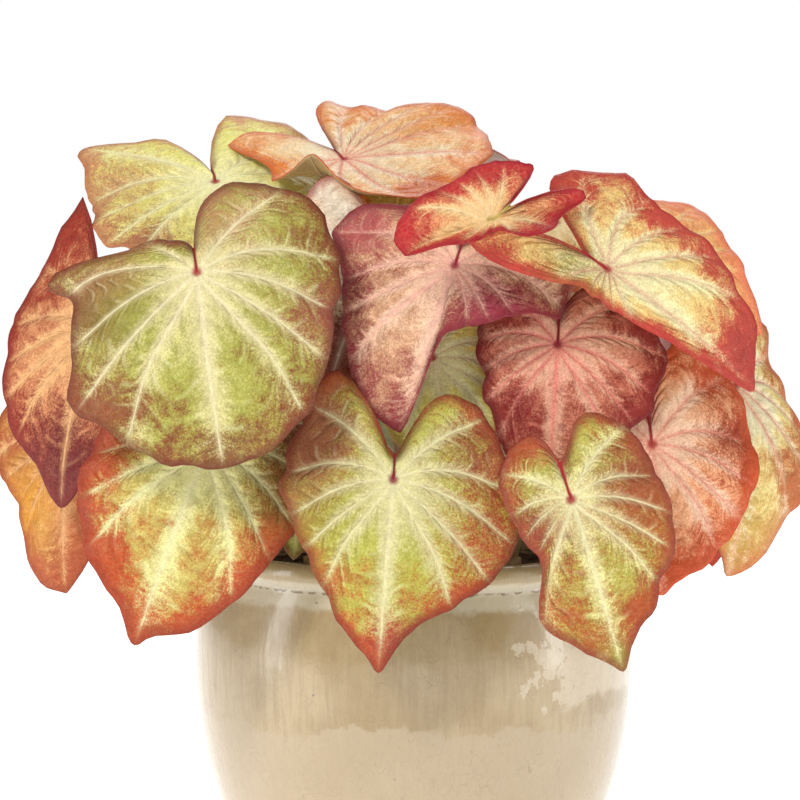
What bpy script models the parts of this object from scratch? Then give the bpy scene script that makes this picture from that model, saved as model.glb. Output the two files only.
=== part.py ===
"""A potted caladium: broad heart-shaped blades on arching stalks, three tubers, soil and a glazed pot.

Metres, +Z up. The origin is the middle of the pot's flat base, and the plant's best side faces -Y.
Each leaf is placed by its joint, where stalk and blade meet, and by the tip of its blade.
"""

import math
from dataclasses import dataclass

import bmesh
import bpy
import numpy as np
from mathutils import Matrix, Vector

MM = 0.001
MERGE_DISTANCE = 0.01 * MM

# Pot, a turned shape: widest at the belly, drawn in to the base and to the neck, with a rolled lip
POT_HEIGHT = 230 * MM
POT_BASE_RADIUS = 76 * MM
POT_BELLY_RADIUS = 130 * MM
POT_BELLY_HEIGHT = 172 * MM
POT_NECK_RADIUS = 119 * MM
POT_TAPER_POWER = 2.2
POT_SHOULDER_POWER = 2.0
POT_WALL = 9 * MM
POT_FLOOR = 14 * MM
LIP_RADIUS = 6.5 * MM
LIP_CENTRE_RADIUS = 117.5 * MM
FOOT_CHAMFER = 3 * MM
POT_SIDES = 36

# Soil, a little below the lip and just clear of the glaze
SOIL_TOP = 212 * MM
SOIL_MOUND = 5 * MM
FIT_GAP = 0.4 * MM
FILL_HEIGHTS = tuple(np.linspace(POT_FLOOR + POT_WALL, SOIL_TOP, 7))

# Tubers, each with a short neck that its stalks rise from
TUBER_RADIUS = 24 * MM
TUBER_HEIGHT = 26 * MM
TUBER_DEPTH = 54 * MM
NECK_RADIUS = 13 * MM
NECK_TOP = 224 * MM
PIT_TOP = 232 * MM
TUBER_SIDES = 14
TUBERS = {
    "left": (-52 * MM, -22 * MM),
    "right": (50 * MM, -26 * MM),
    "back": (2 * MM, 50 * MM),
}

# Stalks
STALK_BASE_RADIUS = 3.4 * MM
STALK_TOP_RADIUS = 2.1 * MM
STALK_SIDES = 5
STALK_PARTS = 7
STALK_ROOT_DEPTH = 14 * MM
STALK_RING_RADIUS = 6.5 * MM

# Blades, each a heart with a cleft at the joint. Stations are degrees from the midrib's line to the tip
BLADE_THICKNESS = 0.9 * MM
BLADE_GAP = 0.45 * MM
BLADE_COLUMNS = 22
BLADE_RINGS = 4
COLUMN_CROWDING = 0.08
STATIONS = (0, 15, 30, 60, 90, 120, 150, 165, 180)
HEART = (0.80, 0.70, 0.68, 0.66, 0.68, 0.70, 0.42)
CLEFT = 0.14
BEND_SAMPLES = np.linspace(0.0, 1.4, 141)
HOOK_START = 0.55
HOOK_SPAN = 0.45
LIFT_SPREAD = 22
LIFT_POWER = 4
# Ripples: waves round the blade, their share of leaf.wave, and how far the phase turns them
RIPPLES = ((4, 1.0, 1.0), (7, 0.6, 2.3))
RIPPLE_POWER = 2.5


@dataclass
class Leaf:
    """One leaf, with its joint and tip in millimetres and its angles in degrees.

    Left and right are as seen with the upper face towards the eye and the tip down. They hold how far the
    margin is from the joint at the stations between tip and cleft, as shares of the flat midrib's length.
    A positive bend turns the blade back from its upper face, and a negative one turns it up. The cleft turn
    moves the cleft off the midrib's line. Each lift raises the margin round one angle, by a share of the
    midrib's length. Rise and reach are how far the stalk keeps its first and last course, in millimetres.
    """

    name: str
    tuber: str
    kind: str
    joint: tuple
    tip: tuple
    face: tuple
    left: tuple = HEART
    right: tuple = HEART
    cleft: float = CLEFT
    droop: float = 22
    hook: float = 8
    lobe_droop: float = 5
    fold_left: float = 0
    fold_right: float = 0
    side_left: float = 20
    side_right: float = 20
    cleft_turn: float = 0
    lifts: tuple = ()
    wave: float = 0.02
    phase: float = 0.0
    rise: float = 90
    reach: float = 60
    steepness: float = 1.2


LEAVES = [
    # Low ones at the front, which hang over the lip
    Leaf("front_centre", "left", "lime", (-12, -153, 283), (-20, -169, 180), (0, -1, 0.2),
         left=(0.86, 0.71, 0.60, 0.59, 0.62, 0.71, 0.22), right=(0.82, 0.77, 0.76, 0.66, 0.61, 0.60, 0.31),
         phase=0.6),
    Leaf("front_right", "right", "lime", (84, -162, 273), (111, -182, 183), (0, -1, 0.2),
         left=(0.88, 0.66, 0.34, 0.37, 0.43, 0.46, 0.40), right=(0.82, 0.70, 0.60, 0.50, 0.54, 0.53, 0.36),
         phase=2.1, cleft=0.22),
    Leaf("front_left", "left", "amber", (-114, -128, 299), (-153, -150, 192), (0, -1, 0.2),
         left=(0.81, 0.77, 0.66, 0.62, 0.62, 0.62, 0.40), right=(0.91, 0.79, 0.63, 0.60, 0.60, 0.60, 0.40),
         phase=4.0, lobe_droop=110),
    Leaf("front_low", "left", "lime", (-64, -85, 268), (-68, -105, 233), (0, -1, 0.5), phase=1.0),
    # Upper ones at the front
    Leaf("broad_left", "left", "lime", (-118, -150, 395), (-103, -172, 291), (0, -1, 0.2),
         left=(0.99, 0.95, 0.82, 0.74, 0.42, 0.26, 0.20), right=(0.99, 0.91, 0.73, 0.72, 0.70, 0.56, 0.44),
         phase=5.0),
    Leaf("rose_centre", "right", "rose", (22, -114, 398), (-8, -137, 307), (0, -1, 0.3),
         left=(0.95, 0.80, 0.66, 0.72, 0.54, 0.44, 0.36), right=(0.42, 0.38, 0.42, 0.66, 0.56, 0.41, 0.30),
         phase=3.0, side_right=30, rise=160, steepness=-0.5),
    Leaf("rose_right", "right", "rose", (80, -94, 353), (74, -108, 269), (0, -1, 0.3),
         left=(0.88, 0.76, 0.53, 0.55, 0.56, 0.55, 0.40), right=(0.88, 0.82, 0.77, 0.77, 0.60, 0.46, 0.36),
         phase=0.0, cleft=0.2),
    Leaf("small_crimson", "right", "crimson", (41, -140, 423), (-6, -150, 404), (0, -0.7, 0.7),
         left=(1.00, 0.85, 0.58, 0.58, 0.62, 0.70, 0.72), right=(0.68, 0.52, 0.27, 0.35, 0.62, 0.80, 1.10),
         phase=2.0, cleft=0.16, cleft_turn=25, fold_left=-50, fold_right=-20,
         rise=170, reach=75, steepness=-1.2),
    Leaf("gold_right", "right", "amber", (105, -128, 396), (188, -111, 328), (0.25, -1, 0.5),
         left=(0.52, 0.36, 0.22, 0.20, 0.26, 0.64, 0.68), right=(0.90, 0.79, 0.65, 0.51, 0.60, 0.56, 0.35),
         phase=1.5, side_left=50, fold_right=5, rise=130, steepness=-0.5),
    # The right side
    Leaf("coral_right", "right", "coral", (133, -95, 297), (138, -112, 214), (0.2, -1, 0.2),
         left=(0.85, 0.76, 0.70, 0.68, 0.70, 0.70, 0.45), right=(0.88, 0.84, 0.77, 0.74, 0.78, 0.82, 0.60),
         phase=2.6),
    Leaf("far_right", "right", "amber", (189, -15, 325), (182, -40, 215), (0.5, -1, 0.1),
         left=(0.80, 0.62, 0.52, 0.42, 0.40, 0.42, 0.30), right=(0.88, 0.80, 0.58, 0.43, 0.40, 0.47, 0.35),
         phase=3.6, droop=40, side_right=60),
    Leaf("amber_right", "right", "amber", (143, 0, 397), (206, -5, 354), (0.4, -1, 0.6),
         right=(0.82, 0.70, 0.65, 0.74, 0.66, 0.60, 0.40),
         phase=4.4),
    Leaf("low_right", "right", "coral", (175, 20, 253), (179, 10, 214), (0.5, -1, 0.3), phase=5.2),
    # The left side
    Leaf("hanging_left", "left", "coral", (-185, -50, 360), (-201, -75, 259), (-0.5, -1, 0.1),
         left=(0.83, 0.73, 0.60, 0.55, 0.58, 0.80, 0.66), right=(0.84, 0.66, 0.55, 0.46, 0.42, 0.40, 0.35),
         phase=0.3, rise=130),
    Leaf("low_left", "left", "amber", (-200, -25, 293), (-201, -55, 207), (-0.5, -1, 0.1),
         left=(0.90, 0.68, 0.54, 0.66, 0.72, 0.70, 0.40), right=(0.80, 0.70, 0.68, 0.62, 0.56, 0.46, 0.32),
         phase=1.3),
    # The top
    Leaf("orange_top", "back", "coral", (-41, -5, 457), (46, -18, 460), (0, -0.5, 0.87),
         left=(0.92, 0.90, 0.80, 0.42, 0.50, 0.64, 1.12), right=(0.97, 0.98, 0.88, 0.74, 0.84, 0.90, 0.75),
         phase=3.3, cleft=0.2, cleft_turn=-62, droop=5, side_left=5, side_right=5, lifts=((-83, 0.3),)),
    Leaf("lime_top", "left", "lime", (-118, 12, 444), (-122, -76, 357), (-0.05, -0.75, 0.65),
         left=(0.75, 0.62, 0.55, 0.60, 0.73, 0.60, 0.30), right=(0.80, 0.70, 0.66, 0.60, 0.60, 0.62, 0.62),
         phase=4.3, cleft_turn=15),
    Leaf("pink_inner", "back", "pink", (-25, -82, 401), (-48, -105, 330), (0, -1, 0.1),
         left=(0.80, 0.70, 0.65, 0.62, 0.69, 0.63, 0.28), right=(0.60, 0.42, 0.33, 0.30, 0.30, 0.35, 0.25),
         phase=5.3),
    Leaf("green_inner", "right", "lime", (10, -84, 345), (26, -104, 272), (0, -1, 0.3),
         left=(0.60, 0.50, 0.42, 0.38, 0.40, 0.42, 0.30), right=(0.80, 0.70, 0.66, 0.58, 0.52, 0.45, 0.32),
         phase=0.9),
    Leaf("pale_inner", "back", "lime", (82, -36, 420), (84, -60, 390), (0, -1, 0.6), phase=1.9),
    Leaf("orange_inner", "back", "crimson", (-11, -35, 425), (-38, -10, 445), (-0.1, -0.6, 0.8), phase=2.9),
    # The back
    Leaf("back_centre", "back", "rose", (5, 154, 378), (0, 181, 285), (0, 1, 0.3), phase=0.2),
    Leaf("back_left", "back", "lime", (-90, 116, 395), (-119, 152, 306), (-0.4, 1, 0.3), phase=1.1),
    Leaf("back_right", "back", "coral", (102, 114, 392), (134, 146, 304), (0.4, 1, 0.3), phase=2.4),
    Leaf("back_low", "back", "lime", (-10, 157, 266), (-14, 178, 186), (0, 1, 0.2), phase=3.1),
    Leaf("back_low_left", "left", "amber", (-105, 128, 288), (-128, 160, 208), (-0.6, 1, 0.2), phase=4.1),
    Leaf("back_low_right", "back", "coral", (97, 122, 285), (118, 152, 200), (0.5, 1, 0.2), phase=5.5),
    Leaf("back_top", "back", "pink", (6, 60, 462), (0, 145, 436), (0, 0.4, 0.9), phase=0.7),
    Leaf("left_back", "left", "amber", (-178, 50, 357), (-212, 76, 269), (-1, 0.4, 0.2), phase=1.9),
    Leaf("right_back", "right", "rose", (168, 72, 350), (198, 105, 262), (1, 0.7, 0.2), phase=3.9),
    Leaf("left_low_back", "left", "coral", (-168, 48, 270), (-196, 64, 208), (-1, 0.3, 0.2), phase=5.9),
]

# Plain colours: how each kind of blade looks from a step away
BLADE_COLOURS = {
    "lime": (0.60, 0.55, 0.24),
    "amber": (0.75, 0.42, 0.17),
    "coral": (0.72, 0.27, 0.13),
    "rose": (0.56, 0.23, 0.18),
    "pink": (0.78, 0.50, 0.42),
    "crimson": (0.58, 0.09, 0.06),
}
POT_COLOUR = (0.62, 0.55, 0.42)
SOIL_COLOUR = (0.05, 0.032, 0.02)
STALK_COLOUR = (0.45, 0.2, 0.13)


def smooth_step(value, start, end):
    share = np.clip((value - start) / (end - start), 0.0, 1.0)
    return share * share * (3.0 - 2.0 * share)


def smooth_through(value, places, levels):
    """Smooth curve through levels at rising places, level at its last place."""
    places = np.asarray(places, float)
    levels = np.asarray(levels, float)
    slopes = np.gradient(levels, places)
    slopes[-1] = 0.0
    index = np.clip(np.searchsorted(places, value, side="right") - 1, 0, len(places) - 2)
    span = places[index + 1] - places[index]
    share = (value - places[index]) / span
    start = (2 * share**3 - 3 * share**2 + 1) * levels[index]
    end = (3 * share**2 - 2 * share**3) * levels[index + 1]
    leaving = (share**3 - 2 * share**2 + share) * slopes[index] * span
    arriving = (share**3 - share**2) * slopes[index + 1] * span
    return start + end + leaving + arriving


def margin_distance(leaf, angle):
    """How far the margin lies from the joint, by the angle in degrees from the midrib."""
    turn = np.abs(angle)
    left = smooth_through(turn, STATIONS, (1.0, *leaf.left, leaf.cleft))
    right = smooth_through(turn, STATIONS, (1.0, *leaf.right, leaf.cleft))
    return np.where(angle < 0, left, right)


def wrap(distance, height, turn, hook=0.0, fold=0.0):
    """Lays a flat stretch along an arc: fold degrees at its start, turn for each unit, hook near its end."""
    hooked = smooth_step(BEND_SAMPLES, HOOK_START, HOOK_START + HOOK_SPAN)
    slopes = np.radians(fold + turn * BEND_SAMPLES + hook * hooked)
    middles = (slopes[1:] + slopes[:-1]) / 2
    step = BEND_SAMPLES[1]
    runs = np.concatenate([[0.0], np.cumsum(np.cos(middles) * step)])
    drops = np.concatenate([[0.0], np.cumsum(np.sin(middles) * step)])
    slope = np.interp(distance, BEND_SAMPLES, slopes)
    run = np.interp(distance, BEND_SAMPLES, runs)
    drop = np.interp(distance, BEND_SAMPLES, drops)
    return run + height * np.sin(slope), height * np.cos(slope) - drop


def blade_points(leaf, angle, reach):
    """Where the blade's middle layer lies, in its own frame: +X right, -Y to the tip, +Z off the upper face.

    angle is in degrees from the midrib, and reach runs from 0 at the joint to 1 at the margin.
    """
    distance = margin_distance(leaf, angle) * reach
    around = np.radians(angle)
    direction = np.radians(angle + leaf.cleft_turn * (angle / 180.0) ** 2)
    across = distance * np.sin(direction)
    along = distance * np.cos(direction)
    ripple = sum(size * np.sin(count * around + turn * leaf.phase) for count, size, turn in RIPPLES)
    height = leaf.wave * reach**RIPPLE_POWER * ripple
    for place, lift in leaf.lifts:
        off = (angle - place + 180.0) % 360.0 - 180.0
        height = height + lift * reach**LIFT_POWER * np.exp(-((off / LIFT_SPREAD) ** 2))
    on_left = across < 0
    left = wrap(-across, height, leaf.side_left, fold=leaf.fold_left)
    right = wrap(across, height, leaf.side_right, fold=leaf.fold_right)
    across = np.where(on_left, -left[0], right[0])
    height = np.where(on_left, left[1], right[1])
    on_lobes = along < 0
    lobe_run, lobe_height = wrap(-along, height, leaf.lobe_droop)
    tip_run, tip_height = wrap(along, height, leaf.droop, leaf.hook)
    along = np.where(on_lobes, -lobe_run, tip_run)
    height = np.where(on_lobes, lobe_height, tip_height)
    return np.stack([across, -along, height], axis=-1)


def axes_of(lobeward, upward):
    """Rotation whose Y axis is lobeward and whose Z axis is as near to upward as it can be."""
    y_axis = lobeward.normalized()
    z_axis = (upward - y_axis * upward.dot(y_axis)).normalized()
    x_axis = y_axis.cross(z_axis)
    return Matrix((x_axis, y_axis, z_axis)).transposed()


def blade_placement(leaf):
    """Rotation and scale that bring the blade's frame to its place in the plant."""
    own_tip = Vector(blade_points(leaf, np.array([0.0]), np.array([1.0]))[0])
    tip = (Vector(leaf.tip) - Vector(leaf.joint)) * MM
    turn = axes_of(-tip, Vector(leaf.face)) @ axes_of(-own_tip, Vector((0, 0, 1))).transposed()
    return turn, tip.length / own_tip.length


def column_angle(share):
    """Angle of a column for a share from -1 to 1: the columns crowd at the tip and in the cleft."""
    return 180.0 * (share - COLUMN_CROWDING * np.sin(2.0 * np.pi * share))


def new_object(name, mesh, colour, roughness):
    material = bpy.data.materials.new(name)
    material.use_nodes = True
    shader = material.node_tree.nodes["Principled BSDF"]
    shader.inputs["Base Color"].default_value = (*colour, 1.0)
    shader.inputs["Roughness"].default_value = roughness
    shader.inputs["Metallic"].default_value = 0.0
    mesh.materials.clear()
    mesh.materials.append(material)
    thing = bpy.data.objects.new(name, mesh)
    bpy.context.collection.objects.link(thing)
    return thing


def mesh_from(name, shape):
    mesh = bpy.data.meshes.new(name)
    bmesh.ops.recalc_face_normals(shape, faces=shape.faces)
    shape.to_mesh(mesh)
    shape.free()
    mesh.shade_smooth()
    return mesh


def make_blade(leaf):
    """A thin waved sheet, in triangles that are alike on both of its faces."""
    shape = bmesh.new()
    bmesh.ops.create_grid(shape, x_segments=BLADE_COLUMNS, y_segments=BLADE_RINGS, size=1.0)
    flat = np.array([vertex.co[:2] for vertex in shape.verts])
    angle = column_angle(flat[:, 0])
    reach = (flat[:, 1] + 1.0) / 2
    turn, scale = blade_placement(leaf)
    places = blade_points(leaf, angle, reach) * scale @ np.array(turn).T + np.array(leaf.joint) * MM
    for vertex, place in zip(shape.verts, places):
        vertex.co = place
    bmesh.ops.remove_doubles(shape, verts=shape.verts, dist=MERGE_DISTANCE)
    bmesh.ops.triangulate(shape, faces=shape.faces)
    mesh = bpy.data.meshes.new("blade_" + leaf.name)
    shape.to_mesh(mesh)
    shape.free()
    mesh.shade_smooth()
    blade = new_object("blade_" + leaf.name, mesh, BLADE_COLOURS[leaf.kind], 0.5)
    thickness = blade.modifiers.new("Thickness", "SOLIDIFY")
    thickness.thickness = BLADE_THICKNESS
    thickness.offset = 0.0
    return blade


def turned_mesh(name, profile, sides, centre=(0.0, 0.0)):
    """Mesh of a profile of (radius, height) points, from axis to axis, turned once round."""
    shape = bmesh.new()
    points = [shape.verts.new((centre[0] + radius, centre[1], height)) for radius, height in profile]
    edges = [shape.edges.new(pair) for pair in zip(points, points[1:])]
    bmesh.ops.spin(
        shape,
        geom=points + edges,
        cent=(centre[0], centre[1], 0.0),
        axis=(0, 0, 1),
        angle=2.0 * math.pi,
        steps=sides,
        use_merge=True,
    )
    bmesh.ops.remove_doubles(shape, verts=shape.verts, dist=MERGE_DISTANCE)
    return mesh_from(name, shape)


def pot_radius(height):
    """Outer radius of the pot's wall below the lip."""
    if height < POT_BELLY_HEIGHT:
        share = (POT_BELLY_HEIGHT - height) / POT_BELLY_HEIGHT
        return POT_BELLY_RADIUS - (POT_BELLY_RADIUS - POT_BASE_RADIUS) * share**POT_TAPER_POWER
    share = (height - POT_BELLY_HEIGHT) / (lip_foot() - POT_BELLY_HEIGHT)
    return POT_BELLY_RADIUS - (POT_BELLY_RADIUS - POT_NECK_RADIUS) * share**POT_SHOULDER_POWER


def lip_foot():
    """Height where the wall runs into the rolled lip."""
    return POT_HEIGHT - 2 * LIP_RADIUS


def pot_profile():
    foot = [(0.0, 0.0), (POT_BASE_RADIUS - FOOT_CHAMFER, 0.0)]
    outside = [(pot_radius(height), height) for height in np.linspace(FOOT_CHAMFER, POT_BELLY_HEIGHT, 8)]
    shoulder = [(pot_radius(height), height) for height in np.linspace(POT_BELLY_HEIGHT, lip_foot(), 5)[1:]]
    lip = []
    for angle in np.radians(np.linspace(-45, 180, 7)):
        radius = LIP_CENTRE_RADIUS + LIP_RADIUS * math.cos(angle)
        lip.append((radius, POT_HEIGHT - LIP_RADIUS + LIP_RADIUS * math.sin(angle)))
    inside = [(inner_radius(height), height) for height in (lip_foot(), *reversed(FILL_HEIGHTS))]
    floor = [(inner_radius(POT_FLOOR) - POT_WALL, POT_FLOOR), (0.0, POT_FLOOR)]
    return foot + outside + shoulder + lip + inside + floor


def inner_radius(height):
    return pot_radius(height) - POT_WALL


def make_pot():
    mesh = turned_mesh("pot", pot_profile(), POT_SIDES)
    return new_object("pot", mesh, POT_COLOUR, 0.2)


def tuber_profile(gap, top):
    """A flattened round tuber with a neck up to top, grown by gap on every side."""
    middle = SOIL_TOP - TUBER_DEPTH + TUBER_HEIGHT / 2
    neck_angle = math.acos(NECK_RADIUS / TUBER_RADIUS)
    profile = [(0.0, middle - TUBER_HEIGHT / 2 - gap)]
    for angle in np.linspace(-math.pi / 2, neck_angle, 7)[1:]:
        radius = (TUBER_RADIUS + gap) * math.cos(angle)
        profile.append((radius, middle + (TUBER_HEIGHT / 2 + gap) * math.sin(angle)))
    return profile + [(NECK_RADIUS + gap, top), (0.0, top)]


def make_soil():
    """A filling with a low mound, and a pit that fits each tuber and its neck."""
    bottom_radius = inner_radius(POT_FLOOR) - POT_WALL - FIT_GAP
    profile = [(0.0, POT_FLOOR + FIT_GAP), (bottom_radius, POT_FLOOR + FIT_GAP)]
    for height in FILL_HEIGHTS:
        profile.append((inner_radius(height) - FIT_GAP, height))
    for share in (0.75, 0.5, 0.25, 0.0):
        radius = share * (inner_radius(SOIL_TOP) - FIT_GAP)
        profile.append((radius, SOIL_TOP + SOIL_MOUND * (1.0 - share**2)))
    soil = new_object("soil", turned_mesh("soil", profile, POT_SIDES), SOIL_COLOUR, 0.95)
    for name, centre in TUBERS.items():
        mesh = turned_mesh("pit_" + name, tuber_profile(FIT_GAP, PIT_TOP), TUBER_SIDES, centre)
        pit = bpy.data.objects.new("pit_" + name, mesh)
        bpy.context.collection.objects.link(pit)
        pit.hide_render = True
        pit.display_type = "WIRE"
        cut = soil.modifiers.new(pit.name, "BOOLEAN")
        cut.operation = "DIFFERENCE"
        cut.object = pit
    return soil


def stalk_root(leaf, place, count):
    """Start of a stalk inside the neck: the stalks of a tuber stand in a ring, in order of their headings."""
    heading = 2.0 * math.pi * place / count
    centre = TUBERS[leaf.tuber]
    ring = Vector((math.cos(heading), math.sin(heading), 0.0)) * STALK_RING_RADIUS
    return Vector((*centre, NECK_TOP - STALK_ROOT_DEPTH)) + ring


def heading_of(leaf):
    centre = TUBERS[leaf.tuber]
    return math.atan2(leaf.joint[1] * MM - centre[1], leaf.joint[0] * MM - centre[0]) % (2.0 * math.pi)


def curve_point(points, share):
    """Point of a cubic curve with four control points."""
    weights = ((1 - share) ** 3, 3 * share * (1 - share) ** 2, 3 * share**2 * (1 - share), share**3)
    return sum((point * weight for point, weight in zip(points, weights)), Vector())


def stalk_rings(leaf, root):
    """Rings of points along a stalk, the last one cut parallel to the blade and just under it."""
    turn, _ = blade_placement(leaf)
    normal = turn @ Vector((0, 0, 1))
    joint = Vector(leaf.joint) * MM
    end = joint - normal * (BLADE_THICKNESS / 2 + BLADE_GAP)
    arrival = (normal + Vector((0, 0, leaf.steepness))).normalized()
    controls = (root, root + Vector((0, 0, leaf.rise * MM)), end - arrival * leaf.reach * MM, end)
    centres = [curve_point(controls, step / STALK_PARTS) for step in range(STALK_PARTS + 1)]
    side = Vector((1, 0, 0))
    rings = []
    for step, centre in enumerate(centres):
        after = centres[min(step + 1, STALK_PARTS)]
        before = centres[max(step - 1, 0)]
        course = (after - before).normalized()
        side = (side - course * side.dot(course)).normalized()
        across = course.cross(side)
        radius = STALK_BASE_RADIUS + (STALK_TOP_RADIUS - STALK_BASE_RADIUS) * step / STALK_PARTS
        ring = []
        for corner in range(STALK_SIDES):
            angle = 2.0 * math.pi * corner / STALK_SIDES
            ring.append(centre + (side * math.cos(angle) + across * math.sin(angle)) * radius)
        rings.append(ring)
    course = (centres[-1] - centres[-2]).normalized()
    rings[-1] = [point + course * ((end - point).dot(normal) / course.dot(normal)) for point in rings[-1]]
    return rings


def stalk_mesh(name, rings):
    shape = bmesh.new()
    loops = [[shape.verts.new(point) for point in ring] for ring in rings]
    for lower, upper in zip(loops, loops[1:]):
        for corner in range(STALK_SIDES):
            after = (corner + 1) % STALK_SIDES
            shape.faces.new((lower[corner], lower[after], upper[after], upper[corner]))
    shape.faces.new(loops[0])
    shape.faces.new(loops[-1])
    return mesh_from(name, shape)


def make_stalks(tuber):
    """A tuber, its neck and all of its stalks, joined into one body."""
    name = "stalks_" + tuber
    mesh = turned_mesh(name, tuber_profile(0.0, NECK_TOP), TUBER_SIDES, TUBERS[tuber])
    stalks = new_object(name, mesh, STALK_COLOUR, 0.5)
    group = bpy.data.collections.new(name)
    bpy.context.scene.collection.children.link(group)
    leaves = sorted((leaf for leaf in LEAVES if leaf.tuber == tuber), key=heading_of)
    for place, leaf in enumerate(leaves):
        rings = stalk_rings(leaf, stalk_root(leaf, place, len(leaves)))
        stalk = bpy.data.objects.new("stalk_" + leaf.name, stalk_mesh("stalk_" + leaf.name, rings))
        group.objects.link(stalk)
    union = stalks.modifiers.new("Union", "BOOLEAN")
    union.operation = "UNION"
    union.operand_type = "COLLECTION"
    union.collection = group
    bpy.context.view_layer.update()
    joined = bpy.data.meshes.new_from_object(stalks.evaluated_get(bpy.context.evaluated_depsgraph_get()))
    stalks.modifiers.clear()
    stalks.data = joined
    for stalk in list(group.objects):
        bpy.data.objects.remove(stalk)
    bpy.data.collections.remove(group)
    drop_scraps(joined)
    return stalks


def drop_scraps(mesh):
    """Keeps the largest connected piece of a mesh."""
    shape = bmesh.new()
    shape.from_mesh(mesh)
    unseen = set(shape.verts)
    pieces = []
    while unseen:
        piece = set()
        front = [unseen.pop()]
        while front:
            vertex = front.pop()
            piece.add(vertex)
            for edge in vertex.link_edges:
                other = edge.other_vert(vertex)
                if other in unseen:
                    unseen.remove(other)
                    front.append(other)
        pieces.append(piece)
    largest = max(pieces, key=len)
    bmesh.ops.delete(shape, geom=[vertex for vertex in shape.verts if vertex not in largest], context="VERTS")
    shape.to_mesh(mesh)
    shape.free()


def clear_scene():
    for thing in list(bpy.data.objects):
        bpy.data.objects.remove(thing, do_unlink=True)


def main():
    clear_scene()
    make_pot()
    make_soil()
    for tuber in TUBERS:
        make_stalks(tuber)
    for leaf in LEAVES:
        make_blade(leaf)


main()
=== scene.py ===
"""Looks of the potted caladium: patterned blades with raised veins, stalks, soil and a crackled glaze.

Everything is in metres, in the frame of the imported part: the origin is the middle of the pot's foot, and the
plant's best side faces -Y. The leaves have the same joints and tips as in the part's source, with finer
margins.
"""

import math
from dataclasses import dataclass

import bmesh
import bpy
import numpy as np
from mathutils import Matrix, Vector, noise


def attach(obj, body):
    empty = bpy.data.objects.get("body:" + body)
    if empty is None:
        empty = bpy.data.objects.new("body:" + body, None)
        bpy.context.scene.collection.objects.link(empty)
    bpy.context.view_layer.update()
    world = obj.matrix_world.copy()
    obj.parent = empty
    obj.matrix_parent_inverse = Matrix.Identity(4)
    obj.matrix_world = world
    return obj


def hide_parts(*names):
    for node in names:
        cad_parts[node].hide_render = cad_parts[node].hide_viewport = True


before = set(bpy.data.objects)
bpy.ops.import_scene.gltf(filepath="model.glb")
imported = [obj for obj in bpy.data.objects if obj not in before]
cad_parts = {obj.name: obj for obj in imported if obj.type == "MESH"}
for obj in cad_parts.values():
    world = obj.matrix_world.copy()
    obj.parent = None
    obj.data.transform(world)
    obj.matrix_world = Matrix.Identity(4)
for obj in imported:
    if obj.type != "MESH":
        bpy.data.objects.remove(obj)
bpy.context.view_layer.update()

MM = 0.001
MERGE_DISTANCE = 0.01 * MM
SEED = 11

# The photograph's view
CAMERA_PLACE = (-8.3 * MM, -1700 * MM, 441 * MM)
CAMERA_AIM = (-8.3 * MM, 0.0, 315 * MM)
CAMERA_LENS = 129.15
SENSOR_WIDTH = 36.0

# Pot
POT_HEIGHT = 230 * MM
POT_BASE_RADIUS = 76 * MM
POT_BELLY_RADIUS = 130 * MM
POT_BELLY_HEIGHT = 172 * MM
POT_NECK_RADIUS = 119 * MM
POT_TAPER_POWER = 2.2
POT_SHOULDER_POWER = 2.0
POT_WALL = 9 * MM
POT_FLOOR = 14 * MM
LIP_RADIUS = 6.5 * MM
LIP_CENTRE_RADIUS = 117.5 * MM
FOOT_CHAMFER = 3 * MM
POT_SIDES = 144

# Soil and the chips of bark in it
SOIL_TOP = 212 * MM
SOIL_MOUND = 5 * MM
SOIL_GAP = 0.4 * MM
SOIL_SIDES = 90
SOIL_RINGS = 26
SOIL_LUMP_SIZE = 7 * MM
SOIL_ROUGHNESS = 2.2 * MM
SOIL_NOISE_PLACE = 3.0
CHIP_COUNT = 260
CHIP_SIZE = 5.5 * MM

# Tubers, each with a short neck that its stalks rise from
TUBER_RADIUS = 24 * MM
TUBER_HEIGHT = 26 * MM
TUBER_DEPTH = 54 * MM
NECK_RADIUS = 13 * MM
NECK_TOP = 224 * MM
TUBER_SIDES = 40
TUBER_LUMP_SIZE = 6 * MM
TUBER_ROUGHNESS = 1.0 * MM
TUBER_NOISE_PLACE = 7.0
TUBERS = {
    "left": (-52 * MM, -22 * MM),
    "right": (50 * MM, -26 * MM),
    "back": (2 * MM, 50 * MM),
}

# Stalks
STALK_BASE_RADIUS = 3.4 * MM
STALK_TOP_RADIUS = 2.1 * MM
STALK_SIDES = 12
STALK_PARTS = 24
STALK_ROOT_DEPTH = 14 * MM
STALK_RING_RADIUS = 6.5 * MM

# Blades. Stations are degrees from the midrib's line to the tip
BLADE_THICKNESS = 0.9 * MM
BLADE_RINGS = 32
STATIONS = (0, 15, 30, 60, 90, 120, 150, 165, 180)
HEART = (0.80, 0.70, 0.68, 0.66, 0.68, 0.70, 0.42)
CLEFT = 0.14
BEND_SAMPLES = np.linspace(0.0, 1.4, 141)
HOOK_START = 0.55
HOOK_SPAN = 0.45
LIFT_SPREAD = 22
LIFT_POWER = 4
RIPPLES = ((4, 1.0, 1.0), (7, 0.6, 2.3), (11, 0.4, 1.7))
MARGIN_WAVES = ((13, 0.009, 1.4), (23, 0.006, 2.9), (37, 0.003, 0.8))
CLEFT_CALM = (2.0, 40.0)
TIP_CALM = (0.0, 12.0)
MARGIN_SAMPLES = 481
RIPPLE_POWER = 2.5

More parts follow.
